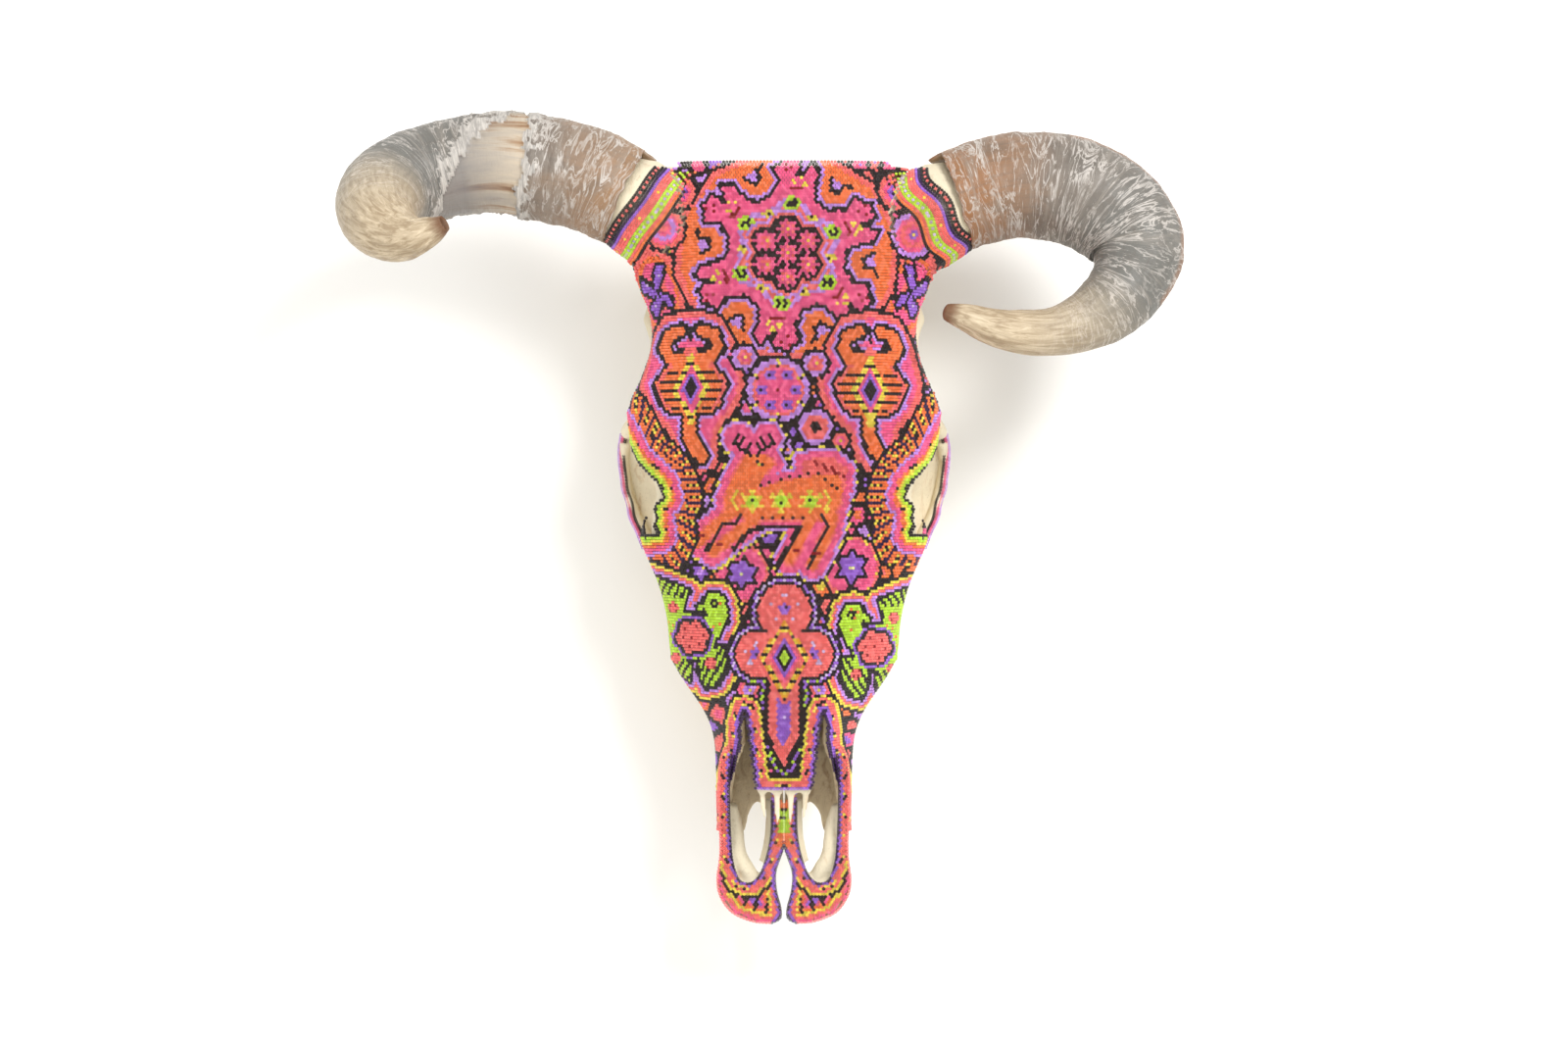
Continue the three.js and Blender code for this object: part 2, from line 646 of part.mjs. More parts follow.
function tooth(x, drop, length, lobes) {
  const shape = new THREE.Shape();
  const half = TOOTH_WIDTH / 2;
  const lobe = length / lobes;
  const waist = 2.2;
  shape.moveTo(-half + waist, -length / 2);
  for (let i = 0; i < lobes; i++) {
    const from = -length / 2 + i * lobe;
    shape.quadraticCurveTo(-half - waist, from + lobe / 2, -half + waist, from + lobe);
  }
  for (let i = 0; i < lobes; i++) {
    const from = length / 2 - i * lobe;
    if (i === 0) shape.lineTo(half - waist, from);
    shape.quadraticCurveTo(half + waist, from - lobe / 2, half - waist, from - lobe);
  }
  shape.closePath();
  const depth = TOOTH_FACE_Y - TOOTH_ROOT_Y;
  return new THREE.ExtrudeGeometry(shape, { depth, curveSegments: 4, bevelEnabled: false })
    .rotateX(-Math.PI / 2)
    .translate(x, TOOTH_ROOT_Y, -drop);
}

function addTeeth(sideName, side) {
  let front = TOOTH_ROW_FRONT;
  for (const [kind, length, lobes] of TEETH) {
    const drop = front - length / 2;
    const x = FLANK(drop)[0] - FACE_WALL - TOOTH_WIDTH / 2 - 2.2;
    addPiece(`${kind}_${sideName}`, tooth(side * x, drop, length - TOOTH_GAP, lobes), TOOTH);
    front -= length;
  }
}

// ---- Beads in wax ----
function coverPlate(options) {
  return skullPlate({ wall: BEAD_COVER, lift: COVER_LIFT, ...options });
}

function foreheadCover() {
  const front = coverPlate({ across: [-3.2, 3.2], drop: [0, ROOT_OF_NOSE] });
  const rooms = SIDES.flatMap(([sideName, side]) => [
    pedicle(sideName, COVER_LIFT + SEAM, SEAM),
    postorbitalBar(side, SEAM),
  ]);
  return cut(front, ...rooms);
}

// The beads round the root of a horn, from the forehead's beads to the sheath.
function hornCollar(sideName) {
  const root = pedicle(sideName, COVER_GAP, SEAM);
  return cut(pedicle(sideName, COVER_LIFT), skullBlock(COVER_LIFT + SEAM), root);
}

// The upper skull as one filled block, its surface lifted, as a tool to cut with.
function skullBlock(lift) {
  const across = acrossLines(-ON_FLANK, ON_FLANK);
  const rings = 7;
  const top = -SEAM;
  const behind = new THREE.Vector3(0, 20, 0);
  const points = [];
  for (let ring = 0; ring <= rings; ring++) {
    const drop = ring * DROP_SPACING + top;
    const section = across.map((place) => {
      const along = skullSurface(place + 0.01, drop).sub(skullSurface(place - 0.01, drop)).normalize();
      const outward = new THREE.Vector3(0, 0, -1).cross(along);
      return skullSurface(place, drop).addScaledVector(outward, lift);
    });
    points.push(section[0].clone().add(behind), ...section, section.at(-1).clone().add(behind));
  }
  return closedRings(points, across.length + 2, rings, at(0, 40, top), at(0, 40, rings * DROP_SPACING + top));
}

function cheekCover(side) {
  const across = [edgeOfNoseOpening, 3.2];
  return mirrored(coverPlate({ across, drop: [ROOT_OF_NOSE, MAXILLA_END], seam: SEAM }), side);
}

function noseCover() {
  return coverPlate({ across: [-ON_SUTURE, ON_SUTURE], drop: [ROOT_OF_NOSE, 409] });
}

function muzzleCover(side) {
  return mirrored(incisivePlate(COVER_LIFT, () => BEAD_COVER), side);
}

addPiece("occipital", occipitalBone(), BONE);
addPiece("parietal", join(nuchalPlate(30, PARIETAL_BACK, [8, 3])), BONE);
addPiece("sphenoid", sphenoidBone(), BONE);
addPiece("vomer", vomer(), BONE);
for (const [sideName, side] of SIDES) {
  addPiece(`frontal_${sideName}`, frontalBone(sideName, side), BONE);
  addPiece(`temporal_${sideName}`, temporalBone(side), BONE);
  addPiece(`nasal_${sideName}`, nasalBone(side), BONE);
  addPiece(`lacrimal_${sideName}`, lacrimalBone(side), BONE);
  addPiece(`zygomatic_${sideName}`, zygomaticBone(side), BONE);
  addPiece(`maxilla_${sideName}`, maxillaBone(side), BONE);
  addPiece(`incisive_${sideName}`, incisiveBone(side), BONE);
  addPiece(`palatine_${sideName}`, palatineBone(side), BONE);
  addPiece(`nasal_concha_${sideName}`, nasalConcha(side), BONE);
  addPiece(`horn_sheath_${sideName}`, hornSheath(sideName), HORN);
  addPiece(`horn_collar_beads_${sideName}`, hornCollar(sideName), BEADS);
  addPiece(`cheek_beads_${sideName}`, cheekCover(side), BEADS);
  addPiece(`muzzle_beads_${sideName}`, muzzleCover(side), BEADS);
  addTeeth(sideName, side);
}
addPiece("forehead_beads", foreheadCover(), BEADS);
addPiece("nose_beads", noseCover(), BEADS);

export default skull;
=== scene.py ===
"""The looks of a cattle skull whose front is covered in glass beads set in wax.

Lengths are in millimetres until a mesh is made, and the frame is the CAD's: +X to the right of someone who
looks at the forehead, +Y into the skull, +Z up. The drop is the distance down from the poll. The beadwork is
painted in flat coordinates: u runs across the face from the midline, v is the drop.
"""
import math

import bpy
import numpy as np
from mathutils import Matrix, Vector, noise
from mathutils.bvhtree import BVHTree
from mathutils.kdtree import KDTree


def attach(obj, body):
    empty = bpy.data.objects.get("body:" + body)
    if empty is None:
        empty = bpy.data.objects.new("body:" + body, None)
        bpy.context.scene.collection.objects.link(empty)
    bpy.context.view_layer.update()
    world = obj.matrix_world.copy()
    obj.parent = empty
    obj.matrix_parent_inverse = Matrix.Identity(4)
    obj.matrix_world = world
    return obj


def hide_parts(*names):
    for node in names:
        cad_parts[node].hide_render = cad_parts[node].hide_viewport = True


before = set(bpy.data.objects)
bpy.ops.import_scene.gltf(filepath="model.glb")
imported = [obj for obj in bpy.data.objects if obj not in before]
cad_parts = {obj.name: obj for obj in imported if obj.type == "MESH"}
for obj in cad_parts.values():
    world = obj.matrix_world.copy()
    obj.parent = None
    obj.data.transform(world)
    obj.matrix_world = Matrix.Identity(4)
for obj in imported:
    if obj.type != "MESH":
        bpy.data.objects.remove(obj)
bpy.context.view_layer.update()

# ---- Driving sizes
MM = 0.001
POLL_Z = 27  # height of the poll
LOCAL_Y = 116  # the outlines below count their depth from the forehead, this far in front of the origin
BEAD_PITCH = 2.2  # along a row
ROW_STEP = 1.93  # between rows
BAND = 3 * ROW_STEP  # dashes across the rows come back every third row
BEAD_HALF_HEIGHT = 0.75
BEAD_TILT = 0.05
BEAD_SPREAD = 0.02  # of a bead's size
NOSE_TOP = 330  # below this drop the rows bridge the openings of the nose, which are trimmed later
NOSE_EDGES_TOP = 346  # below this drop flat places count straight across, not along the face
NOSE_END = 409
FAR = 99  # farther than any layer of paint reaches
SKULL = "skull"
BODIES = {"right": "right_horn", "left": "left_horn"}
SIDES = {"right": 1, "left": -1}

random = np.random.default_rng(11)


# ---- Meshes
def make_piece(name, vertices, faces, materials, body, replaced=()):
    """A piece of the object from vertices in millimetres."""
    mesh = bpy.data.meshes.new(name)
    mesh.from_pydata((np.asarray(vertices) * MM).tolist(), [], faces)
    return add_piece(name, mesh, materials, body, replaced)


def add_piece(name, mesh, materials, body, replaced=()):
    """An object from a mesh in metres, named to the frame: its body, the CAD nodes it replaces."""
    for material in materials:
        mesh.materials.append(material)
    mesh.shade_smooth()
    piece = bpy.data.objects.new(name, mesh)
    bpy.context.scene.collection.objects.link(piece)
    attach(piece, body)
    if replaced:
        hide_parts(*replaced)
    return piece


def with_modifiers(mesh, *settings):
    """The mesh after a chain of modifiers, each given as its type and its values."""
    carrier = bpy.data.objects.new("carrier", mesh)
    bpy.context.scene.collection.objects.link(carrier)
    for kind, values in settings:
        modifier = carrier.modifiers.new(kind.lower(), kind)
        for key, value in values.items():
            setattr(modifier, key, value)
    depsgraph = bpy.context.evaluated_depsgraph_get()
    made = bpy.data.meshes.new_from_object(carrier.evaluated_get(depsgraph))
    bpy.data.objects.remove(carrier)
    return made


def quads_of(index):
    """The four corners of every cell in a grid of point numbers."""
    return np.stack([index[:-1, :-1], index[:-1, 1:], index[1:, 1:], index[1:, :-1]], -1)


def grid_faces(rows, columns, wrap=False):
    """Quads of a grid of points, closed round its rows with wrap."""
    index = np.arange(rows * columns).reshape(rows, columns)
    if wrap:
        index = np.hstack([index, index[:, :1]])
    return quads_of(index).reshape(-1, 4).tolist()


def turns_of(count):
    """So many even turns of a circle, in radians."""
    return np.arange(count) * 2 * math.pi / count


def circle_of(up, other, turns):
    """Directions of length one round a circle that starts at up and goes towards other."""
    return up * np.cos(turns)[:, None] + other * np.sin(turns)[:, None]


def tree_of(nodes):
    """Something to cast rays at, from CAD nodes, in millimetres."""
    vertices, faces = [], []
    for name in nodes:
        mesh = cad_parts[name].data
        first = len(vertices)
        vertices += [vertex.co / MM for vertex in mesh.vertices]
        faces += [[first + i for i in polygon.vertices] for polygon in mesh.polygons]
    return BVHTree.FromPolygons(vertices, faces)


def unit(vectors):
    """The vectors at a length of one."""
    vectors = np.asarray(vectors, float)
    return vectors / np.linalg.norm(vectors, axis=-1, keepdims=True)


# ---- Materials
def shader(name, **values):
    """A material with one Principled shader, and its node tree and shader."""
    material = bpy.data.materials.new(name)
    material.use_nodes = True
    principled = material.node_tree.nodes["Principled BSDF"]
    for key, value in values.items():
        principled.inputs[key.replace("_", " ")].default_value = value
    return material, material.node_tree, principled


def linear(red, green, blue):
    """A colour of 0 to 255 as Blender's shaders want it."""
    return (*(((c / 255 + 0.055) / 1.055) ** 2.4 if c > 10 else c / 3294 for c in (red, green, blue)), 1)


def node(tree, kind, links=(), **values):
    """A node with its settings, its input values and its links: (input, output socket)."""
    made = tree.nodes.new("ShaderNode" + kind)
    for key, value in values.items():
        if hasattr(made, key):
            setattr(made, key, value)
        else:
            made.inputs[key.replace("_", " ")].default_value = value
    for target, source in links:
        tree.links.new(source, made.inputs[target])
    return made


def stretched(tree, source, scale):
    """Coordinates scaled along each axis, so that a noise read there comes out drawn into streaks."""
    return node(tree, "Mapping", [("Vector", source)], Scale=scale).outputs["Vector"]


def noise_of(tree, source, scale, detail=6, roughness=0.6, distortion=0):
    """A grey noise, smaller in grain the larger its scale."""
    made = node(
        tree, "TexNoise", [("Vector", source)],
        Scale=scale, Detail=detail, Roughness=roughness, Distortion=distortion,
    )
    return made.outputs["Fac"]


def ramp(tree, source, stops):
    """A colour ramp, each stop a place and a colour of 0 to 255, or a plain grey of 0 to 1."""
    made = node(tree, "ValToRGB", [("Fac", source)])
    elements = made.color_ramp.elements
    while len(elements) < len(stops):
        elements.new(0.5)
    for element, (place, colour) in zip(elements, stops):
        element.position = place
        element.color = linear(*colour) if isinstance(colour, tuple) else (colour, colour, colour, 1)
    return made.outputs["Color"]


def mixed(tree, factor, first, second):
    """Two colours mixed, each a socket or a colour of 0 to 255."""
    made = node(tree, "Mix", data_type="RGBA", blend_type="MIX")
    for name, value in (("Factor_Float", factor), ("A_Color", first), ("B_Color", second)):
        target = next(i for i in made.inputs if i.identifier == name)
        if isinstance(value, tuple):
            target.default_value = linear(*value)
        elif isinstance(value, (int, float)):
            target.default_value = value
        else:
            tree.links.new(value, target)
    return next(o for o in made.outputs if o.identifier == "Result_Color")


def maths(tree, operation, first, second):
    """A sum or product of two values, each a socket or a number."""
    made = node(tree, "Math", operation=operation)
    for target, value in zip(made.inputs, (first, second)):
        if isinstance(value, (int, float)):
            target.default_value = value
        else:
            tree.links.new(value, target)
    return made.outputs["Value"]


def finish_shader(tree, principled, colour, roughness, height, strength, distance):
    """Links a colour, a roughness and a bump into a shader."""
    bump = node(tree, "Bump", [("Height", height)], Strength=strength, Distance=distance * MM)
    tree.links.new(colour, principled.inputs["Base Color"])
    tree.links.new(roughness, principled.inputs["Roughness"])
    tree.links.new(bump.outputs["Normal"], principled.inputs["Normal"])


def object_place(tree):
    """Coordinates that stay with the piece."""
    return node(tree, "TexCoord").outputs["Object"]


def bone_material(name, cream, stain, stain_share):
    """Bone: mottled, with stains in streaks down the skull, and pitted with dark pores."""
    material, tree, principled = shader(name, Specular_IOR_Level=0.35)
    place = object_place(tree)
    broad = noise_of(tree, place, 22, 5, 0.55)
    streaks = noise_of(tree, stretched(tree, place, (1, 1, 0.22)), 150, 6, 0.65, 0.8)
    pores = node(tree, "TexVoronoi", [("Vector", place)], Scale=620).outputs["Distance"]
    mottled = mixed(tree, ramp(tree, broad, [(0.38, 0), (0.72, 1)]), cream, tuple(c * 0.9 for c in cream))
    stained = mixed(tree, ramp(tree, streaks, [(stain_share, 0), (stain_share + 0.22, 0.75)]), mottled, stain)
    pitted = mixed(tree, ramp(tree, pores, [(0.0, 0.55), (0.22, 0)]), stained, (96, 66, 40))
    rough = ramp(tree, broad, [(0.3, 0.5), (0.7, 0.78)])
    relief = maths(tree, "ADD", maths(tree, "MULTIPLY", streaks, 1.6), maths(tree, "MULTIPLY", pores, 0.8))
    finish_shader(tree, principled, pitted, rough, relief, 0.5, 0.5)
    return material


def tooth_material():
    """Enamel with ridges and brown tartar."""
    material, tree, principled = shader("tooth_enamel", Specular_IOR_Level=0.5)
    place = object_place(tree)
    ridges = noise_of(tree, stretched(tree, place, (1, 0.1, 1)), 420, 4, 0.6)
    tartar = noise_of(tree, place, 70, 6, 0.7)
    ivory = mixed(tree, ramp(tree, ridges, [(0.35, 0), (0.7, 1)]), (226, 212, 178), (196, 170, 124))
    stained = mixed(tree, ramp(tree, tartar, [(0.52, 0), (0.68, 0.85)]), ivory, (92, 66, 40))
    rough = ramp(tree, tartar, [(0.4, 0.28), (0.65, 0.6)])
    finish_shader(tree, principled, stained, rough, ridges, 0.6, 0.5)
    return material


def wax_material():
    """Dark, lumpy beeswax."""
    material, tree, principled = shader("beeswax", Specular_IOR_Level=0.4, Subsurface_Weight=0.1)
    place = object_place(tree)
    lumps = noise_of(tree, place, 260, 4)
    colour = mixed(tree, lumps, (58, 34, 22), (104, 66, 34))
    finish_shader(tree, principled, colour, ramp(tree, lumps, [(0.3, 0.4), (0.7, 0.65)]), lumps, 0.4, 0.4)
    return material


def horn_material():
    """Keratin. The attribute straight holds a point's place along the horn and round it, growth runs from 0
    at the root to 1 at the tip, warm is how brown it is, and torn is 1 where the outer layer is gone."""
    material, tree, principled = shader("horn_keratin", Specular_IOR_Level=0.45)
    straight = node(tree, "Attribute", attribute_name="straight").outputs["Vector"]
    growth = node(tree, "Attribute", attribute_name="growth").outputs["Fac"]
    torn = node(tree, "Attribute", attribute_name="torn").outputs["Fac"]
    across = stretched(tree, straight, (1, 0.15, 0.15))
    along = stretched(tree, straight, (0.12, 1, 1))
    rings = noise_of(tree, across, 130, 7, 0.62, 0.9)
    scratches = noise_of(tree, across, 260, 9, 0.72, 2.4)
    fibres = noise_of(tree, along, 330, 8, 0.68, 0.8)
    clouds = noise_of(tree, straight, 26, 5, 0.6, 0.8)
    base = ramp(
        tree, maths(tree, "ADD", growth, maths(tree, "MULTIPLY", maths(tree, "SUBTRACT", clouds, 0.5), 0.35)),
        [(0.0, (150, 124, 96)), (0.10, (134, 116, 98)), (0.24, (114, 105, 96)), (0.40, (104, 102, 97)),
         (0.62, (108, 107, 102)), (0.82, (154, 142, 122)), (1.0, (206, 188, 156))],
    )
    warm = node(tree, "Attribute", attribute_name="warm").outputs["Fac"]
    uneven = maths(tree, "MULTIPLY", warm, ramp(tree, clouds, [(0.3, 1.3), (0.7, 0.5)]))
    warmed = mixed(tree, uneven, base, (140, 92, 54))
    tinted = mixed(tree, ramp(tree, clouds, [(0.52, 0), (0.78, 0.55)]), warmed, (84, 74, 64))
    veined = mixed(tree, ramp(tree, fibres, [(0.50, 0), (0.66, 0.35)]), tinted, (92, 82, 74))
    banded = mixed(tree, ramp(tree, rings, [(0.50, 0), (0.68, 0.45)]), veined, (150, 142, 132))
    cracks = noise_of(tree, stretched(tree, straight, (1, 0.22, 0.22)), 120, 6, 0.6, 1.4)
    worn = ramp(tree, clouds, [(0.36, 0.2), (0.56, 1)])
    lines = maths(tree, "MULTIPLY", ramp(tree, cracks, [(0.455, 0), (0.49, 0.9), (0.53, 0)]), worn)
    lined = mixed(tree, lines, banded, (200, 193, 186))
    flaky = mixed(tree, ramp(tree, scratches, [(0.57, 0), (0.66, 0.7)]), lined, (204, 197, 190))
    fibrous = mixed(tree, ramp(tree, fibres, [(0.40, 0), (0.68, 0.85)]), (158, 138, 110), (222, 205, 176))
    tip_share = ramp(tree, growth, [(0.58, 0), (0.84, 1)])
    outside = mixed(tree, tip_share, flaky, fibrous)
    dark_end = mixed(tree, ramp(tree, growth, [(0.972, 0), (0.995, 0.9)]), outside, (104, 66, 38))
    streaks = noise_of(tree, stretched(tree, straight, (0.08, 0.7, 0.7)), 120, 5, 0.6, 0.5)
    fresh = ramp(
        tree, streaks,
        [(0.30, (104, 66, 38)), (0.40, (156, 126, 96)), (0.50, (190, 176, 156)), (0.64, (168, 158, 146)),
         (0.78, (140, 112, 84))],
    )
    inner = mixed(tree, ramp(tree, growth, [(0.26, 0), (0.40, 0.85)]), fresh, (124, 121, 120))
    pale = mixed(tree, ramp(tree, scratches, [(0.40, 0), (0.62, 1)]), (146, 141, 136), (206, 200, 192))
    edged = mixed(tree, ramp(tree, torn, [(0.2, 0), (0.45, 1)]), dark_end, pale)
    colour = mixed(tree, ramp(tree, torn, [(0.7, 0), (0.85, 1)]), edged, inner)
    rough = ramp(tree, scratches, [(0.4, 0.34), (0.62, 0.72)])
    relief = mixed(tree, tip_share, mixed(tree, 0.5, rings, scratches), fibres)
    finish_shader(tree, principled, colour, rough, relief, 0.75, 0.9)
    return material


BONE = bone_material("bone", (232, 220, 192), (176, 136, 88), 0.56)
INNER_BONE = bone_material("nasal_bone", (222, 204, 170), (128, 84, 48), 0.5)
TOOTH = tooth_material()
WAX = wax_material()
KERATIN = horn_material()

# ---- Glass beads
BEAD_COLOURS = {
    "pink": (248, 100, 150),
    "salmon": (252, 118, 114),
    "orange": (252, 128, 70),
    "violet": (160, 104, 214),
    "lilac": (206, 150, 234),
    "mauve": (214, 190, 230),
    "black": (26, 8, 12),
    "plum": (50, 18, 70),
    "red": (150, 16, 26),
    "lime": (192, 228, 60),
    "yellow": (242, 222, 80),
    "cream": (240, 238, 160),
    "gold": (248, 180, 56),
}
NAMES = list(BEAD_COLOURS)
TINTS = (0.93, 1.0, 1.05)  # each colour comes from bundles dyed a little darker or lighter


def bead_materials():
    """Glass in every colour and tint, in the order of NAMES."""
    made = []
    for name, colour in BEAD_COLOURS.items():
        for number, tint in enumerate(TINTS):
            glass = tuple(min(255, c * tint) for c in colour)
            material, _, principled = shader(
                f"bead_{name}_{number}", Roughness=0.2 + 0.06 * number, Coat_Weight=0.25, Coat_Roughness=0.1,
            )
            principled.inputs["Base Color"].default_value = linear(*glass)
            made.append(material)
    return made


BEAD_MATERIALS = bead_materials()
# Radius and height of a bead's section, from the middle of its outside over the top and down its hole.
BEAD_SECTION = np.array([(1.08, 0.0), (0.88, 0.6), (0.55, 0.74), (0.38, -0.45), (0.86, -0.66)])
BEAD_SIDES = 8
MOST_BEADS = 2400


def bead_mesh():
    """A bead's points and quads: its section turned round the hole."""
    turns = turns_of(BEAD_SIDES)
    points = np.concatenate([
        np.stack([radius * np.cos(turns), radius * np.sin(turns), np.full(BEAD_SIDES, height)], 1)
        for radius, height in BEAD_SECTION
    ])
    faces = []
    for ring in range(len(BEAD_SECTION)):
        after = (ring + 1) % len(BEAD_SECTION)
        for side in range(BEAD_SIDES):
            beside = (side + 1) % BEAD_SIDES
            faces.append([
                ring * BEAD_SIDES + side, ring * BEAD_SIDES + beside,
                after * BEAD_SIDES + beside, after * BEAD_SIDES + side,
            ])
    return points, np.array(faces)


def add_beads(name, places, normals, alongs, colours, replaced=()):
    """Beads at places, their holes along normals, in pieces of at most MOST_BEADS."""
    points, faces = bead_mesh()
    tints = random.integers(0, len(TINTS), len(places))
    sizes = random.normal(1, BEAD_SPREAD, len(places))
    leans = random.normal(0, BEAD_TILT, (len(places), 3))
    for part, first in enumerate(range(0, len(places), MOST_BEADS)):
        chosen = slice(first, first + MOST_BEADS)
        up = unit(normals[chosen] + leans[chosen])
        side = unit(alongs[chosen] - up * np.sum(alongs[chosen] * up, 1, keepdims=True))
        other = np.cross(up, side)
        scaled = points[None] * sizes[chosen][:, None, None]
        vertices = (
            places[chosen][:, None]
            + scaled[..., :1] * side[:, None]
            + scaled[..., 1:2] * other[:, None]
            + scaled[..., 2:] * up[:, None]
        ).reshape(-1, 3) * MM
        count = len(up)
        quads = (faces[None] + (np.arange(count) * len(points))[:, None, None]).reshape(-1)
        mesh = bpy.data.meshes.new(name)
        mesh.vertices.add(len(vertices))
        mesh.vertices.foreach_set("co", vertices.astype(np.float32).ravel())
        mesh.loops.add(len(quads))
        mesh.loops.foreach_set("vertex_index", quads.astype(np.int32))
        mesh.polygons.add(len(quads) // 4)
        mesh.polygons.foreach_set("loop_start", np.arange(0, len(quads), 4, dtype=np.int32))
        used, slots = np.unique(colours[chosen] * len(TINTS) + tints[chosen], return_inverse=True)
        mesh.polygons.foreach_set("material_index", np.repeat(slots, len(faces)).astype(np.int32))
        mesh.update(calc_edges=True)
        shown = [BEAD_MATERIALS[i] for i in used]
        add_piece(f"{name}_{part + 1}", mesh, shown, SKULL, replaced)


# ---- The face as heights above an axis inside the skull
AXIS_Y = -26
REACH = 300  # where the rays start, from the axis
ANGLES = np.radians(np.arange(-118, 118.1, 0.6))
HEIGHTS = np.arange(-446, 30, 2.0)
FACE_NODES = ["forehead_beads", "nose_beads", "cheek_beads_right", "cheek_beads_left"]
WIDEST_SEAM = 4  # columns that a seam between two covers takes up at most
TALLEST_SEAM = 3  # rows
ROUNDING = (4, 3)  # rows and columns over which facets are rounded off
SINKS = 0.9  # the most that rounding may lower the face
WIDENING = 6  # rows and columns that the face is carried past its edges
TURNED = 0.45  # how much of its length the side of the face keeps in flat coordinates
FEWEST_PLACES = 3  # a row needs


def cast_face():
    """The face's distance from the axis at each height and angle, with nan where no beads lie."""
    tree = tree_of(FACE_NODES)
    field = np.full((len(HEIGHTS), len(ANGLES)), np.nan)
    for row, z in enumerate(HEIGHTS):
        for column, angle in enumerate(ANGLES):
            outward = Vector((math.sin(angle), -math.cos(angle), 0))
            place, _, _, distance = tree.ray_cast(Vector((0, AXIS_Y, z)) + outward * REACH, -outward)
            if place is not None:
                field[row, column] = REACH - distance
    return field


def bridge(line, widest):
    """Fills, in place, the gaps of a line that are no wider than so many steps."""
    known = np.flatnonzero(~np.isnan(line))
    for before, after in zip(known[:-1], known[1:]):
        if 1 < after - before <= widest:
            inside = np.arange(before + 1, after)
            line[inside] = np.interp(inside, [before, after], line[[before, after]])


def bridged(field):
    """Closes the seams between covers, and below NOSE_TOP the openings of the nose too."""
    made = field.copy()
    for row, z in enumerate(HEIGHTS):
        in_nose = NOSE_TOP < POLL_Z - z < NOSE_END
        bridge(made[row], len(ANGLES) if in_nose else WIDEST_SEAM)
    for column in range(len(ANGLES)):
        bridge(made[:, column], TALLEST_SEAM)
    return made


def smoothed(field, rows, columns):
    """The field with its facets rounded off; nan stays nan."""
    known = ~np.isnan(field)
    for axis, width in ((0, rows), (1, columns)):
        total = np.zeros_like(field)
        weights = np.zeros_like(field)
        filled = np.where(known, field, 0)
        for offset in range(-2 * width, 2 * width + 1):
            weight = math.exp(-0.5 * (offset / width) ** 2)
            shifted = np.roll(filled, offset, axis)
            there = np.roll(known, offset, axis)
            total += weight * shifted
            weights += weight * there
        field = np.where(known, total / np.maximum(weights, 1e-9), np.nan)
    return field


FACETED = bridged(cast_face())
FACE = np.fmax(smoothed(FACETED, *ROUNDING), FACETED - SINKS)


def widened(field):
    """The field carried a little past its edges, so that slopes can be read there."""
    made = field.copy()
    for _ in range(WIDENING):
        for axis in (0, 1):
            for step in (1, -1):
                beside = np.roll(made, step, axis)
                made = np.where(np.isnan(made), beside, made)
    return made


WIDE_FACE = widened(FACE)
SLOPE_Z, SLOPE_ANGLE = np.gradient(WIDE_FACE, HEIGHTS, ANGLES)


def face_at(table, z, angles):
    """A table of the face read between its rows and columns."""
    row = np.clip((z - HEIGHTS[0]) / (HEIGHTS[1] - HEIGHTS[0]), 0, len(HEIGHTS) - 1.001)
    column = np.clip((angles - ANGLES[0]) / (ANGLES[1] - ANGLES[0]), 0, len(ANGLES) - 1.001)
    r, c = np.floor(row).astype(int), np.floor(column).astype(int)
    a, b = row - r, column - c
    return (
        table[r, c] * (1 - a) * (1 - b) + table[r + 1, c] * a * (1 - b)
        + table[r, c + 1] * (1 - a) * b + table[r + 1, c + 1] * a * b
    )


def face_points(z, angles, lift=0.0):
    """Places on the face and their normals."""
    z = np.broadcast_to(z, angles.shape)
    radius = face_at(WIDE_FACE, z, angles)
    outward = np.stack([np.sin(angles), -np.cos(angles), np.zeros_like(angles)], 1)
    round_it = np.stack([np.cos(angles), np.sin(angles), np.zeros_like(angles)], 1)
    normals = outward - (face_at(SLOPE_ANGLE, z, angles) / radius)[:, None] * round_it
    normals[:, 2] -= face_at(SLOPE_Z, z, angles)
    normals = unit(normals)
    places = np.stack([radius * np.sin(angles), AXIS_Y - radius * np.cos(angles), z], 1)
    return places + lift * normals, normals


def row_heights():
    """Heights of the rows, evenly spaced down the middle of the face and evenly dropping below the nose."""
    z = np.arange(HEIGHTS[-1], HEIGHTS[0], -0.5)
    middle = face_at(WIDE_FACE, z, np.zeros_like(z))
    known = ~np.isnan(middle) & (z > POLL_Z - NOSE_END)
    z_known, y_known = z[known], middle[known]
    steps = np.hypot(np.diff(z_known), np.diff(y_known))
    length = np.concatenate([[0], np.cumsum(steps)])
    rows = np.interp(np.arange(0, length[-1], ROW_STEP), length, z_known)
    return np.concatenate([rows, np.arange(rows[-1] - ROW_STEP, HEIGHTS[0] + 1, -ROW_STEP)])


def spread(values, places):
    """u along a row: the distance across, or TURNED of the row's length where the face turns to the side."""
    lengths = np.abs(np.diff(places, axis=0)[:, :2])
    steps = np.hypot(lengths[:, 0], lengths[:, 1])
    grown = np.concatenate([[0], np.cumsum(np.maximum(lengths[:, 0], TURNED * steps))])
    return np.interp(values, np.concatenate([[0], np.cumsum(steps)]), grown)


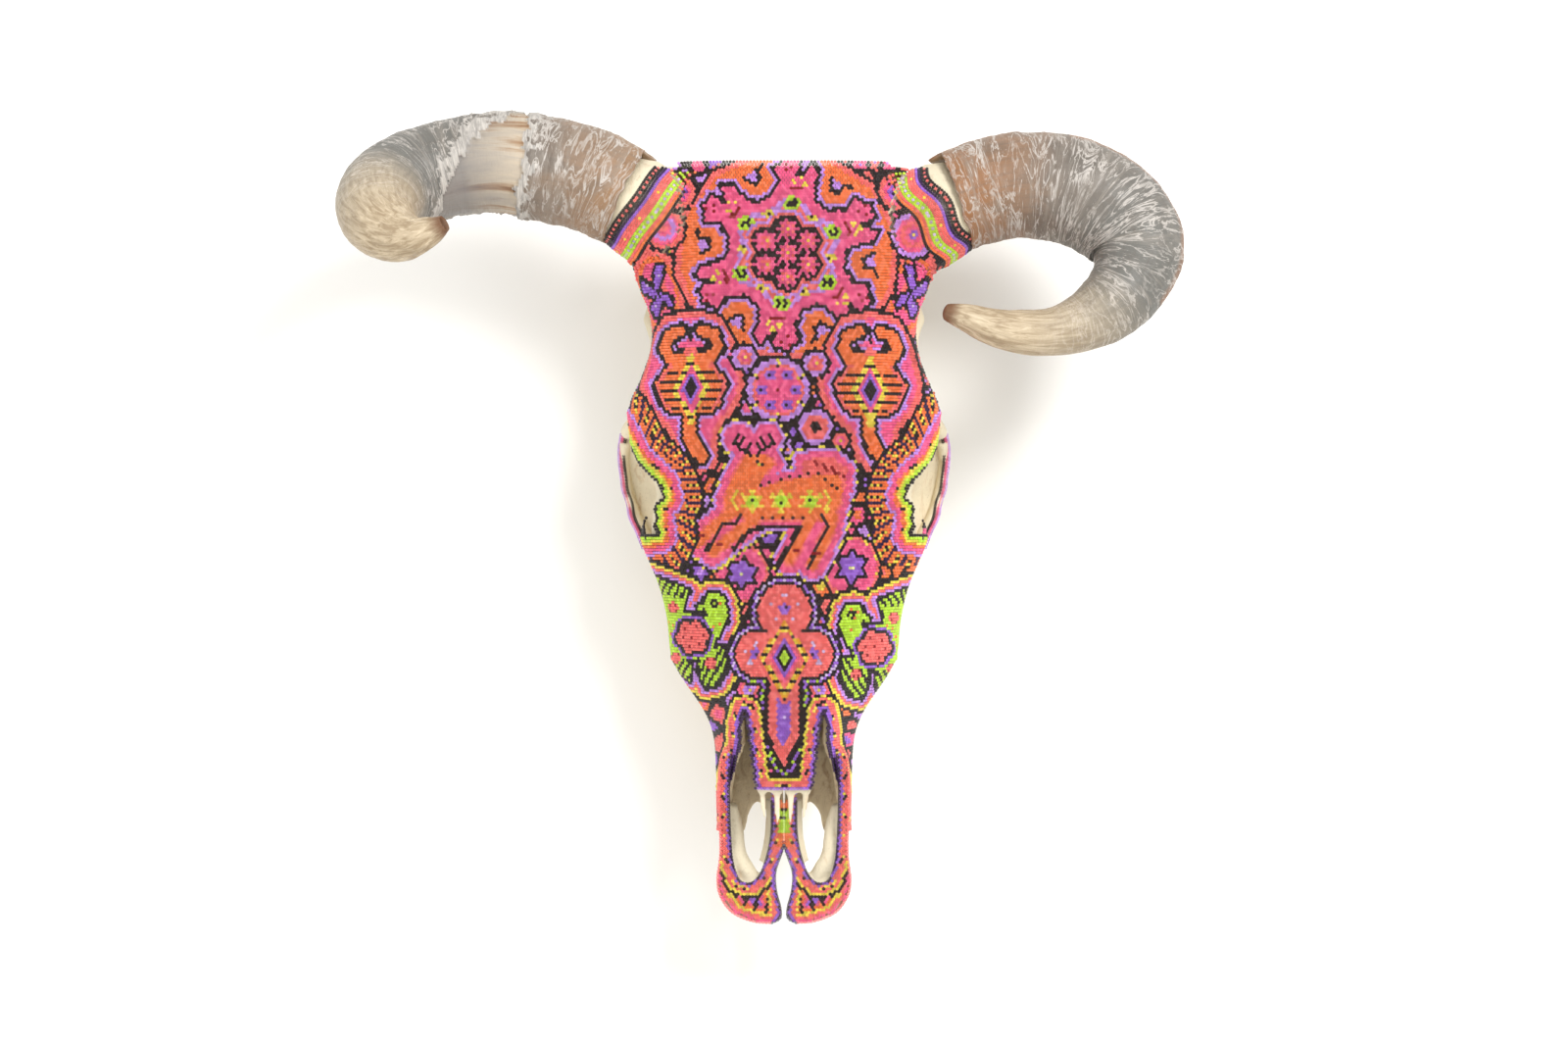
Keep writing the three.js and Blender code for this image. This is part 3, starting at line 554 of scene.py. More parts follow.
def lay_face():
    """Beads in rows over the face: places, normals and flat coordinates."""
    places, normals, flats = [], [], []
    middle = len(ANGLES) // 2
    for index, z in enumerate(row_heights()):
        line, _ = face_points(z, ANGLES)
        usable = ~np.isnan(line[:, 0])
        if usable.sum() < FEWEST_PLACES:
            continue
        here = ANGLES[usable]
        line = line[usable]
        steps = np.linalg.norm(np.diff(line, axis=0), axis=1)
        length = np.concatenate([[0], np.cumsum(steps)])
        zero = np.interp(ANGLES[middle], here, length)
        first = math.ceil((length[0] - zero) / BEAD_PITCH)
        numbers = np.arange(first, (length[-1] - zero) / BEAD_PITCH) + 0.5 * (index % 2)
        along = numbers * BEAD_PITCH + zero
        along = along[(along > 0) & (along < length[-1])]
        angles = np.interp(along, length, here)
        u = spread(along, line) - spread(np.array([zero]), line)
        there = ~np.isnan(face_at(FACE, np.full_like(angles, z), angles))
        spots, ups = face_points(z, angles, -BEAD_HALF_HEIGHT)
        keep = there & ~np.isnan(spots[:, 0])
        places.append(spots[keep])
        normals.append(ups[keep])
        flats.append(np.stack([u[keep], np.full(keep.sum(), POLL_Z - z)], 1))
    return np.concatenate(places), np.concatenate(normals), np.concatenate(flats)


# ---- Flat shapes. Each gives every bead's distance outside the shape's outline, less than 0 within.
def local(flats, centre, turn=0.0, flip=1):
    """Flat places seen from a motif's middle, turned by so many degrees and mirrored where flip is -1."""
    c, s = math.cos(math.radians(turn)), math.sin(math.radians(turn))
    x, y = flats[:, 0] - centre[0], flats[:, 1] - centre[1]
    return np.stack([(x * c + y * s) * flip, y * c - x * s], 1)


def disc(p, x, y, radius):
    """A round spot. p are the beads' flat places throughout."""
    return np.hypot(p[:, 0] - x, p[:, 1] - y) - radius


def oval(p, x, y, half_width, half_height):
    """An upright or lying ellipse; its distances are close to true near the outline only."""
    share = np.hypot((p[:, 0] - x) / half_width, (p[:, 1] - y) / half_height)
    return (share - 1) * min(half_width, half_height)


def line_distance(p, start, end):
    """The distance to the nearest point of a line between two places."""
    start, along = np.array(start, float), np.array(end, float) - start
    share = np.clip((p - start) @ along / max(along @ along, 1e-9), 0, 1)
    return np.linalg.norm(p - start - share[:, None] * along, axis=1)


def stroke(p, corners, width):
    """A bent line with round ends."""
    lines = [line_distance(p, a, b) for a, b in zip(corners[:-1], corners[1:])]
    return np.minimum.reduce(lines) - width / 2


def polygon(p, corners):
    """A closed shape with straight sides."""
    after = [*corners[1:], corners[0]]
    distance = np.minimum.reduce([line_distance(p, a, b) for a, b in zip(corners, after)])
    inside = np.zeros(len(p), bool)
    for (ax, ay), (bx, by) in zip(corners, after):
        if ay != by:
            crossed = (p[:, 1] < ay) != (p[:, 1] < by)
            inside ^= crossed & (p[:, 0] < (bx - ax) * (p[:, 1] - ay) / (by - ay) + ax)
    return np.where(inside, -distance, distance)


def joined(*shapes):
    """Everything that lies in one shape or another."""
    return np.minimum.reduce(shapes)


def around(count, radius, start=0.0, middle=(0, 0)):
    """So many places on a circle, clockwise from start degrees past the top."""
    turns = [math.radians(start + 360 * i / count) for i in range(count)]
    return [(middle[0] + radius * math.sin(turn), middle[1] - radius * math.cos(turn)) for turn in turns]


def petals(p, x, y, radius, count, depth, start=0.0):
    """A disc with a lobed edge."""
    turn = np.arctan2(p[:, 0] - x, -(p[:, 1] - y))
    return disc(p, x, y, radius) - depth * np.cos(count * (turn - math.radians(start)))


class Canvas:
    """Beads painted in layers. A layer is how far it reaches outside a shape and its colour, widest first."""

    def __init__(self, flats):
        self.flats = flats
        self.colours = np.full(len(flats), NAMES.index("black"))

    def fill(self, chosen, colour):
        """One colour on the chosen beads."""
        self.colours[chosen] = NAMES.index(colour)

    def paint(self, shape, *layers):
        """Every layer of a shape."""
        for reach, colour in layers:
            self.fill(shape < reach, colour)

    def dot(self, p, colour, *spots, radius=0.0):
        """Round spots. Each is one bead at least, the nearest."""
        for x, y in spots:
            away = disc(p, x, y, radius)
            self.paint(away, (0, colour))
            if away.min() < BEAD_PITCH:
                self.fill(np.argmin(away), colour)

    def line(self, p, colour, *corners, width=BEAD_PITCH):
        """A bent line, one bead wide unless said."""
        self.paint(stroke(p, corners, width), (0, colour))


# ---- Motifs
PAVING_STEP = 11.5
PAVING_JITTER = 0.36  # of a step
PAVING_COLUMNS = np.arange(-18, 19)  # these and the rows reach past the face on all sides
PAVING_ROWS = np.arange(-3, 46)
PAVING_SHADES = ["salmon", "orange", "pink", "violet", "salmon", "pink", "lilac"]
PAVING_CORES = ["pink", "salmon", "lilac", "yellow", "violet", "orange"]
JOINT = 1.35  # half the width of the black between two stones
CORE_INSET = 3.4


def paint_ground(canvas):
    """Small bits of colour set in black, as a crazy paving between the motifs."""
    u, v = canvas.flats.T
    columns, rows = np.meshgrid(PAVING_COLUMNS, PAVING_ROWS)
    seeds = np.stack([columns.ravel() + 0.5 * (rows.ravel() % 2), rows.ravel()], 1) * PAVING_STEP
    seeds = seeds + random.uniform(-PAVING_JITTER, PAVING_JITTER, seeds.shape) * PAVING_STEP
    shades = random.choice(PAVING_SHADES, len(seeds))
    cores = random.choice(PAVING_CORES, len(seeds))
    distances = np.hypot(u[:, None] - seeds[:, 0], v[:, None] - seeds[:, 1])
    order = np.argsort(distances, 1)[:, :2]
    nearest, second = np.take_along_axis(distances, order, 1).T
    margin = (second - nearest) / 2
    owner = order[:, 0]
    for colours, inset in ((shades, JOINT), (cores, CORE_INSET)):
        numbers = np.array([NAMES.index(colour) for colour in colours])
        canvas.colours = np.where(margin > inset, numbers[owner], canvas.colours)


MANDALA = (1.5, 59.5)
FIRST_ARM = 6  # degrees past the top
BETWEEN_ARMS = 60
# An arm of the star and a hook between two arms, each drawn outwards from the mandala's middle.
ARM = [
    (-15, 28), (-11.5, 42), (-8.5, 46), (-11.5, 51), (-14, 55), (-10, 58), (-7, 63), (-3, 60.5), (1, 62),
    (2.5, 57), (0.5, 52), (4, 50), (7, 55), (11, 60), (15, 54), (13, 47), (13, 40), (16, 28),
]
HOOK = [(8.6, 59.5), (4.3, 57.5), (3.6, 51.6), (-0.7, 49.3), (-6.1, 56.5)]


def outward_from(p, turn):
    """Flat places as seen along an arm, the second value the distance out from the middle."""
    return local(p, (0, 0), turn) * (1, -1)


def paint_mandala(canvas):
    """A rosette in a six-armed star, with hooks of black and lilac in the orange between the arms."""
    p = local(canvas.flats, MANDALA)
    reach = np.hypot(p[:, 0], p[:, 1])
    turn = np.arctan2(p[:, 0], -p[:, 1])
    corners = [(1.06 * x, y) for x, y in around(12, 66.5, 20)]
    canvas.paint(polygon(p, corners), (5.9, "black"), (3.6, "salmon"), (0, "orange"))
    arms = [outward_from(p, FIRST_ARM + BETWEEN_ARMS * number) for number in range(6)]
    star = joined(disc(p, 0, 0, 37.5), *(polygon(q, ARM) for q in arms))
    ground = canvas.colours == NAMES.index("orange")
    canvas.paint(np.where(ground | (star < 3), star, FAR), (4.4, "lilac"))
    canvas.paint(star, (2.3, "black"), (0, "pink"))
    for number in range(6):
        q = outward_from(p, FIRST_ARM + BETWEEN_ARMS * (number + 0.5))
        canvas.paint(polygon(q, HOOK), (0, "lilac"))
        canvas.line(q, "black", *HOOK)
    wave = 29.5 + 3.4 * np.cos(6 * (turn - math.radians(FIRST_ARM)))
    canvas.paint(reach - wave, (3.9, "lilac"), (0, "salmon"))
    for x, y in around(6, 28, 36):
        canvas.paint(polygon(p, [(x - 4, y), (x, y - 2.6), (x + 4, y), (x, y + 2.6)]), (0.4, "yellow"))
        canvas.dot(p, "black", (x, y))
    for x, y in around(6, 32.5, 6):
        canvas.paint(oval(p, x, y, 5.8, 4.8), (0, "lime"))
        canvas.line(p, "black", (x - 2.2, y - 1.2), (x - 1.4, y + 2))
        canvas.line(p, "black", (x + 1.4, y - 2), (x + 2.2, y + 1.2))
    circles = [(0, 0), *around(6, 15.6, 0)]
    rosette = joined(*(disc(p, x, y, 7.2) for x, y in circles))
    canvas.paint(rosette, (6.0, "lilac"), (4.2, "salmon"), (2.3, "black"))
    for x, y in circles:
        canvas.paint(petals(p, x, y, 6.9, 8, 1.0), (0, "pink"))
        canvas.dot(p, "black", *around(8, 6.1, 22.5, (x, y)))
        canvas.dot(p, "yellow", (x, y))
        canvas.dot(p, "salmon", *around(6, 3.4, 0, (x, y)))
    for q in arms:
        canvas.line(q, "red", (-2.4, 42.5), (5.5, 42.5))
        canvas.dot(q, "yellow", (7, 46), (4, 50), (0, 47), radius=1.6)
        canvas.dot(q, "red", (-5.5, 54), (-3, 57.5), (-7, 59))


def paint_target(canvas, centre, radius, *colours):
    """A round flower of rings, each two beads wide or so, inside a scalloped black edge."""
    p = local(canvas.flats, centre)
    canvas.paint(petals(p, 0, 0, radius + 2.4, 12, 0.7), (0, "black"))
    step = radius / len(colours)
    for number, colour in enumerate(colours):
        canvas.paint(disc(p, 0, 0, radius - number * step), (0, colour))
    canvas.dot(p, "yellow", (0, 0))


def paint_butterfly(canvas, centre, flip):
    """A violet butterfly on an upright oval of rings."""
    p = local(canvas.flats, centre, 12 * flip, flip)
    back = oval(p, 0, 0, 15, 27)
    canvas.paint(back, (4, "black"), (2, "salmon"), (-1.5, "orange"), (-3.5, "pink"), (-8, "salmon"))
    wings = [
        polygon(p, [(0, -2), (-8, -16), (-2, -17), (2, -4)]),
        polygon(p, [(0, -1), (9, -12), (11, -5), (3, 2)]),
        polygon(p, [(0, 1), (7, 8), (4, 15), (-2, 6)]),
        polygon(p, [(-1, 0), (-8, 5), (-7, 12), (-2, 5)]),
    ]
    canvas.paint(joined(*wings), (2.1, "black"), (0, "violet"))
    canvas.dot(p, "mauve", (-3, -10), (6, -6), (3, 8))


def paint_scorpion(canvas, centre):
    """A scorpion from above, with barred legs, a diamond on its back and a bent tail, in its surround."""
    p = local(canvas.flats, centre)
    x, y = p.T
    surround = polygon(p, [
        (-15, -42), (0, -45), (15, -42), (23, -28), (29, -4), (26, 8), (14, 22), (11, 34), (12, 46),
        (4, 50), (-4, 42), (-10, 24), (-24, 10), (-29, -4), (-23, -28),
    ])
    canvas.paint(surround, (8.2, "black"), (6.0, "salmon"), (2.0, "pink"))
    legs = polygon(p, [(-14, -17), (14, -17), (24, -4), (19, 10), (12, 16), (-12, 16), (-19, 10), (-24, -4)])
    claws = joined(*(
        stroke(p, [(side * 4, -20), (side * 13, -20), (side * 18, -27), (side * 15, -35), (side * 7, -38)], 7)
        for side in (-1, 1)
    ))
    tail = stroke(p, [(-1, 17), (-1, 30), (3, 38), (7, 44)], 8)
    canvas.paint(joined(legs, claws, tail), (4.2, "lilac"), (2.2, "black"), (0, "orange"))
    bars = (np.abs(x) > 8) & (np.mod(y + 16.5, BAND) < ROW_STEP) & (legs < -2)
    canvas.fill(bars, "black")
    tips = (legs < -0.2) & (legs > -2.6) & (np.abs(x) > 12) & ~bars
    canvas.fill(tips, "salmon")
    for side in (-1, 1):
        canvas.line(p, "black", (side * 4, -25), (side * 9, -27), (side * 10, -31))
    canvas.line(p, "black", (0, -40), (0, -31))
    canvas.paint(oval(p, 0, -24, 4, 3.4), (0, "salmon"))
    diamond = polygon(p, [(0, -21), (12, 0), (0, 22), (-12, 0)])
    canvas.paint(diamond, (0.6, "yellow"), (-2.8, "pink"), (-4.9, "violet"), (-6.8, "black"))
    dashes = (diamond < 0.6) & (diamond > -2.6) & (np.mod(y, BAND) < 2.0)
    canvas.fill(dashes, "black")
    canvas.dot(p, "yellow", (0, -20), (0, 21), radius=2.4)


def paint_wheel(canvas, centre):
    """The big wheel between the scorpions: rings, six small flowers and six spokes."""
    p = local(canvas.flats, centre)
    canvas.paint(disc(p, 0, 0, 20.5), (2.2, "black"), (0, "lilac"), (-3.8, "salmon"), (-5.8, "pink"))
    for x, y in around(6, 11, 30):
        canvas.paint(disc(p, x, y, 3.6), (0, "violet"))
        canvas.dot(p, "black", (x, y))
    for x, y in around(6, 1, 0):
        canvas.line(p, "yellow", (14.5 * x, 14.5 * y), (21 * x, 21 * y))
        canvas.dot(p, "black", (16.5 * x, 16.5 * y), (20.6 * x, 20.6 * y))
    canvas.dot(p, "red", (0, 0), radius=1.5)


def paint_star_flower(canvas, centre, turn, radius=9.5):
    """A six-petalled star in an oval frame."""
    p = local(canvas.flats, centre, turn)
    rim = oval(p, 0, 0, radius + 8, radius + 10)
    canvas.paint(rim, (2, "black"), (0, "salmon"), (-2.2, "pink"))
    accents = (rim < 0) & (rim > -2.2) & (np.mod(np.degrees(np.arctan2(p[:, 0], p[:, 1])), 36) < 9)
    canvas.fill(accents, "yellow")
    star = joined(*(
        polygon(p, [
            (0, 0), (x * 0.55 - y * 0.3, y * 0.55 + x * 0.3),
            (x, y), (x * 0.55 + y * 0.3, y * 0.55 - x * 0.3),
        ])
        for x, y in around(6, radius)
    ))
    canvas.paint(star, (2.1, "black"), (0.1, "violet"))
    canvas.dot(p, "cream", (0, 0), radius=1.3)


ANTLERS_MIDDLE = -20.5
DEER_FLOWERS = (-2, 220)  # the middle one of three


def paint_deer(canvas):
    """A deer with a raised head, its antlers two round lobes, and three flowers along its side."""
    p = canvas.flats
    trunk = polygon(p, [
        (-26, 189), (-34, 203), (-40, 216), (-41, 230), (-18, 233), (14, 233), (28, 234), (37, 224),
        (39, 211), (36, 200), (14, 203), (-3, 206), (-17, 211), (-12, 203), (-5, 196), (-7, 191), (-15, 188),
    ])
    tail = polygon(p, [(12, 204), (11, 193), (31, 191), (41, 199), (40, 212)])
    legs = joined(
        stroke(p, [(-36, 228), (-50, 240), (-57, 247)], 9),
        stroke(p, [(-20, 232), (-36, 244), (-47, 253)], 9),
        stroke(p, [(18, 230), (12, 240), (3, 258)], 9),
        stroke(p, [(31, 230), (29, 240), (18, 261)], 9),
    )
    lobes = joined(disc(p, -30, 179, 5.2), disc(p, -11, 179, 5.2), stroke(p, [(-26, 186), (-15, 186)], 8))
    outline = joined(trunk, tail, legs, lobes)
    canvas.paint(outline, (8.4, "black"), (6.2, "lilac"), (4.2, "pink"), (0, "salmon"))
    specks = (outline < 7.8) & (outline > 6.0) & (np.mod(p[:, 0] * 0.7 + p[:, 1], 8) < 3.2)
    canvas.fill(specks, "yellow")
    canvas.paint(joined(trunk, legs), (-1.2, "orange"))
    canvas.paint(lobes, (0, "pink"))
    for side in (-1, 1):
        antler = local(p, (ANTLERS_MIDDLE, 0), 0, side)
        canvas.line(antler, "black", (13, 182), (2, 190))
        for x, y in ((13, 182), (9.2, 184.8), (5.4, 187.6)):
            canvas.line(antler, "black", (x, y), (x - 4, y - 6), width=1.9)
    canvas.line(p, "black", (-28, 229), (-32, 235), (-41, 235), (-51, 252))
    canvas.line(p, "black", (24, 229), (28, 237), (15, 263))
    canvas.line(p, "black", (-33, 251), (-24, 240), (-12, 236), (10, 236), (4, 248), (-5, 262), width=3)
    canvas.dot(p, "black", (-17, 193.5), (-14, 195), *((-15 + 6.2 * i, 209 - 1.4 * i) for i in range(6)))
    canvas.dot(p, "black", *((-14 + 6.5 * i, 231) for i in range(5)))
    canvas.dot(p, "black", *((22 + 4 * i, 203 + 3 * i) for i in range(4)))
    canvas.dot(p, "yellow", (-16, 196))
    for number in range(4):
        x, y = 20 + 5 * number, 194 + 2.2 * number
        canvas.line(p, "red", (x, y), (x + 3, y + 3.6), width=2)
    middle, level = DEER_FLOWERS
    for x in (middle - 19, middle, middle + 19):
        canvas.paint(petals(p, x, level, 6.6, 6, 1.8), (0, "yellow"))
        canvas.paint(petals(p, x, level, 3.8, 6, 1.0, 30), (0, "lime"))
        canvas.dot(p, "orange", *around(6, 5.4, 30, (x, level)))
        canvas.dot(p, "black", (x, level))
    for side in (-1, 1):
        flank = local(p, DEER_FLOWERS, 0, side)
        canvas.line(flank, "yellow", (29, -7), (32, -1), (29, 6))
    for x, y in ((-54, 243), (-42, 247), (8, 252), (21, 254)):
        canvas.line(p, "red", (x - 2.5, y), (x + 2, y), width=2)


BIRD_FLOWER = (-3, 2)


def paint_bird(canvas, centre, flip):
    """A bird with its head towards the midline and combed wing and tail feathers."""
    p = local(canvas.flats, centre, 0, flip)
    x, y = p.T
    upper_wing = polygon(p, [(-30, -38), (-21, -35), (-5, -29), (-9, -19), (-8, -8), (-16, 4), (-32, -8)])
    lower_wing = polygon(p, [(-32, 4), (-14, 8), (-4, 22), (-5, 32), (-14, 27), (-32, 12)])
    tail = polygon(p, [(2, 10), (18, 8), (20, 22), (14, 33), (6, 36), (1, 26)])
    neck = stroke(p, [(9, -3), (14, -12), (13, -19)], 13)
    body = joined(oval(p, -6, 2, 18, 15), neck, disc(p, 12, -20, 7.2))
    beak = stroke(p, [(7, -20), (2, -17)], 3)
    whole = joined(upper_wing, lower_wing, tail, body, beak)
    canvas.paint(whole, (10.4, "black"), (8.2, "yellow"), (6.2, "salmon"), (4.2, "lilac"))
    canvas.paint(whole, (2.2, "black"), (0, "lime"))
    combed = (joined(upper_wing, lower_wing, tail) < 0) & (whole > -8) & (body > 1)
    stripes = np.mod(x * 0.86 + y * 0.5, 4.4) < 2.0
    wing_edges = (upper_wing > -8) & (y < -24) | (lower_wing > -7) & (y > 15)
    tail_edge = (tail > -8) & ((y > 22) | (x > 12))
    canvas.fill(combed & stripes & (wing_edges | tail_edge), "black")
    blooms = [BIRD_FLOWER, *around(6, 7.0, 20, BIRD_FLOWER)]
    flower = joined(*(disc(p, a, b, 4.4) for a, b in blooms))
    canvas.paint(flower, (3.4, "violet"), (1.9, "black"), (0, "salmon"))
    canvas.dot(p, "red", *blooms)
    for a, b in ((-16, -17), (9.5, 19), (-15, 17)):
        canvas.paint(disc(p, a, b, 3.8), (0, "salmon"))
        canvas.dot(p, "red", *((a + i, b + j) for i in (-2, 2) for j in (-2, 2)))
    breast = (whole < -2.5) & (body < 0) & (flower > 4) & (y < 2)
    canvas.fill(breast & (np.mod(x + 2 * y, 9) < 2) & (np.mod(x - y, 7) < 3), "orange")
    canvas.paint(disc(p, 12.5, -20.5, 2.9), (0, "black"))
    canvas.dot(p, "lime", (12.5, -20.5))


def paint_nose(canvas):
    """A trefoil with a diamond in it, and an arrow that points down the nose."""
    p = canvas.flats
    lobes = joined(disc(p, 0, 291, 15.5), disc(p, -17, 319, 13), disc(p, 17, 319, 13))
    arrow = polygon(p, [(-7, 330), (7, 330), (9.6, 344), (9.6, 372), (0, 391), (-9.6, 372), (-9.6, 344)])
    whole = joined(lobes, arrow)
    canvas.paint(whole, (8.2, "black"), (6.0, "violet"), (4.0, "black"), (2.0, "salmon"))
    specks = (whole < 5.8) & (whole > 3.6) & (np.mod(p[:, 0] * 0.8 + p[:, 1] * 1.1, 5.6) < 2.1)
    canvas.fill(specks & (p[:, 1] < 336), "mauve")
    canvas.fill(specks & (p[:, 1] >= 336), "lime")
    canvas.paint(arrow, (2.0, "black"), (0.2, "salmon"), (-5.2, "violet"))
    canvas.dot(p, "mauve", *((0, 350 + 9 * i) for i in range(4)))
    canvas.paint(lobes, (0, "salmon"))
    for x, y, radius in ((0, 289, 8.5), (-19, 319, 6.5), (19, 319, 6.5)):
        canvas.dot(p, "mauve", *around(5, radius, 0, (x, y)), radius=1.5)
        canvas.paint(petals(p, x, y, 3.4, 5, 1.2), (0, "violet"))
        canvas.dot(p, "plum", (x, y))
    diamond = polygon(p, [(0, 296), (17, 322), (0, 349), (-17, 322)])
    canvas.paint(diamond, (2.0, "salmon"), (0, "yellow"), (-3.4, "salmon"), (-5.8, "pink"), (-7.4, "violet"))
    canvas.paint(diamond, (-9.2, "black"), (-11.2, "lime"))
    dashes = (diamond < 0) & (diamond > -3.4) & (np.mod(p[:, 1], BAND) < 2.1)
    canvas.fill(dashes, "black")
    rim = (diamond < 0) & (diamond > -1.6) & ~dashes
    canvas.fill(rim, "gold")


# Outlines in flat places on the right half of the face; the left half mirrors them.
ORBIT = [
    (112, 170), (105, 182), (98, 195), (89, 203), (82, 210), (80, 217), (86, 222), (85, 231), (87, 235),
    (84, 241), (92, 242), (98, 240), (112, 236),
]
NOSE_OPENING = [
    (25.5, 356), (28, 366), (28, 378), (31.5, 392), (35.5, 405), (37.8, 425), (37.8, 442), (34, 462),
    (24, 474), (14, 470), (9, 458), (7.5, 440), (7.5, NOSE_END + 0.5), (18.5, NOSE_END + 0.5), (21, 390),
    (24, 365),
]


def folded(flats):
    """Flat places of both halves laid over one another."""
    return np.stack([np.abs(flats[:, 0]), flats[:, 1]], 1)


def outside_openings(flats, inset):
    """Which flat places lie farther than inset from the eye sockets and the openings of the nose."""
    p = folded(flats)
    return (polygon(p, ORBIT) > inset) & (polygon(p, NOSE_OPENING) > inset)


def paint_orbits(canvas):
    """Rows that follow the edge of each eye socket, and outside them a fan of dashed bricks."""
    p = folded(canvas.flats)
    edge = polygon(p, ORBIT)
    u, v = p.T
    fan = (edge < 28) & (edge >= 12) & (v > 138 + 0.4 * (u - 80)) & (v < 262)
    turn = np.mod(np.degrees(np.arctan2(v - 212, 104 - u)), 10)
    beads = np.mod(edge, 4.4) < 2.2
    canvas.fill(fan, "orange")
    canvas.fill(fan & (turn < 2.7), "plum")
    dashed = fan & (turn > 4.9) & (turn < 7.9) & (edge > 17)
    canvas.fill(dashed, "yellow")
    canvas.fill(dashed & beads, "black")
    canvas.fill(fan & (edge > 25.8), "black")
    canvas.paint(edge, (14.2, "lilac"), (12.2, "pink"), (8.6, "orange"), (6.4, "yellow"))
    canvas.paint(edge, (4.3, "lime"), (2.1, "black"))
    ticks = (edge > 6.4) & (edge < 8.6) & (np.mod(v, 14) < 2)
    canvas.fill(ticks, "black")


def paint_nose_edges(canvas):
    """Rows along the openings of the nose and its lower edge."""
    p = folded(canvas.flats)
    below = NOSE_END - p[:, 1]
    on_nose = p[:, 0] < 21
    edge = np.minimum(polygon(p, NOSE_OPENING), np.where(on_nose & (below > -4), below, FAR))
    edge = np.where(p[:, 1] > NOSE_EDGES_TOP, edge, FAR)
    canvas.paint(edge, (11.6, "black"), (10.0, "yellow"), (8.2, "salmon"), (3.8, "violet"), (1.9, "plum"))
    along = np.mod(p[:, 1] + 0.6 * p[:, 0], 13)
    middle_row = (edge > 4.0) & (edge < 6.0)
    canvas.fill(middle_row & (along < 2.2), "black")
    canvas.fill(middle_row & (along > 2.2) & (along < 4.4), "yellow")


# Round flowers: their middle, their radius and their rings from the outside inwards.
UPPER_TARGETS = [
    ((-69, 19), 10.5, "salmon", "pink", "violet", "lime"),
    ((-78, 43), 12.5, "salmon", "pink", "lilac", "pink", "salmon"),
    ((74, 18), 12.5, "salmon", "pink", "violet", "pink"),
    ((84, 47), 14, "lilac", "pink", "salmon", "pink", "violet"),
]
MIDDLE_TARGETS = [
    ((-26, 127), 7.5, "lilac", "salmon", "pink"),
    ((20, 131), 7.5, "lilac", "salmon", "pink"),
]
DARK_TARGET = (20, 172)  # has a black heart
LOWER_TARGETS = [
    (DARK_TARGET, 11, "lilac", "salmon", "salmon", "violet"),
    ((36, 181), 5.5, "salmon", "pink"),
    ((-23, 342), 8, "pink", "salmon", "lilac", "violet"),
    ((23, 342), 8, "pink", "salmon", "lilac", "violet"),
]
SCORPIONS = [(-61, 147), (56, 148)]


def paint_face(flats):
    """The colours of beads at flat places on the face; what is painted later lies over what came before."""
    canvas = Canvas(flats)
    paint_ground(canvas)
    for side in (-1, 1):
        paint_butterfly(canvas, (side * 83, 84), side)
    paint_mandala(canvas)
    for target in UPPER_TARGETS:
        paint_target(canvas, *target)
    for centre in SCORPIONS:
        paint_scorpion(canvas, centre)
    for target in MIDDLE_TARGETS:
        paint_target(canvas, *target)
    paint_wheel(canvas, (-4, 148))
    for target in LOWER_TARGETS:
        paint_target(canvas, *target)
    canvas.dot(canvas.flats, "black", DARK_TARGET, radius=3.4)
    paint_star_flower(canvas, (-28, 267), 8)
    paint_star_flower(canvas, (44, 263), 0, 10.5)
    paint_deer(canvas)
    paint_orbits(canvas)
    paint_bird(canvas, (-58, 307), 1)
    paint_bird(canvas, (57, 314), -1)
    paint_nose(canvas)
    paint_nose_edges(canvas)
    return canvas.colours


# ---- Beads round the roots of the horns
# The middle line of each horn from the skull to its tip: x, depth, drop and the horn's radius.
HORN_PATHS = {
    "right": [
        (84, 33, 41, 33), (112, 30, 23, 33.5), (140, 29, 14, 34.5), (168, 27, 13, 35), (196, 24, 19, 35.5),
        (219, 19, 35, 34), (230, 13, 56, 31), (224, 7, 78, 26), (210, 2, 94, 23), (192, -3, 105, 19),
        (173, -7, 110.5, 15.8), (153, -10, 111, 14.6), (133, -12, 107.5, 12), (118, -13, 102, 9.5),
        (105, -14, 98.5, 6),
    ],
    "left": [
        (-78, 33, 38, 33), (-103, 31, 20, 33.5), (-130, 31, 8, 34.5), (-157, 31, 1.5, 34.8),
        (-186, 30, -2, 34), (-216, 28, 1, 32.5), (-242, 19, 9, 31.5), (-258, -1, 21, 29.5),
        (-260, -26, 35, 26), (-252, -49, 47, 21.5), (-240, -64, 54, 17), (-229, -73, 55, 12.5),
        (-219, -78, 52, 9), (-211, -81, 48, 5.5),
    ],
}
CORE_RISE = {"right": 0.115, "left": 0.235}  # of the core's tip, for a step of 1 outwards
COLLAR_ROWS = [
    "black", "beaded", "black", "plum", "violet", "salmon", "accent", "salmon", "lime", "zigzag", "lime",
    "salmon", "orange", "black",
]
# Rows of two colours: the row's own, the accents', and how many degrees apart the accents are.
ACCENTS = {
    "beaded": ("black", "salmon", 7.5),
    "accent": ("salmon", "yellow", 36),
    "zigzag": ("lime", "mauve", 7.2),
}
ACCENT_WIDTH = 3.8  # degrees
WAVES = {"right": 2.0, "left": 0.4}  # the right collar's rows run in waves
WAVE_COUNT = 5
COLLAR_START = 3.0  # the beads begin this far inwards of the mouth
COLLAR_REACH = 62  # beads farther from the horn's axis belong to the face


def horn_stations(side):
    """The middle line of a horn in the CAD's frame, and its radii."""
    stations = np.array(HORN_PATHS[side], float)
    places = np.stack([stations[:, 0], stations[:, 1] - LOCAL_Y, POLL_Z - stations[:, 2]], 1)
    return places, stations[:, 3]


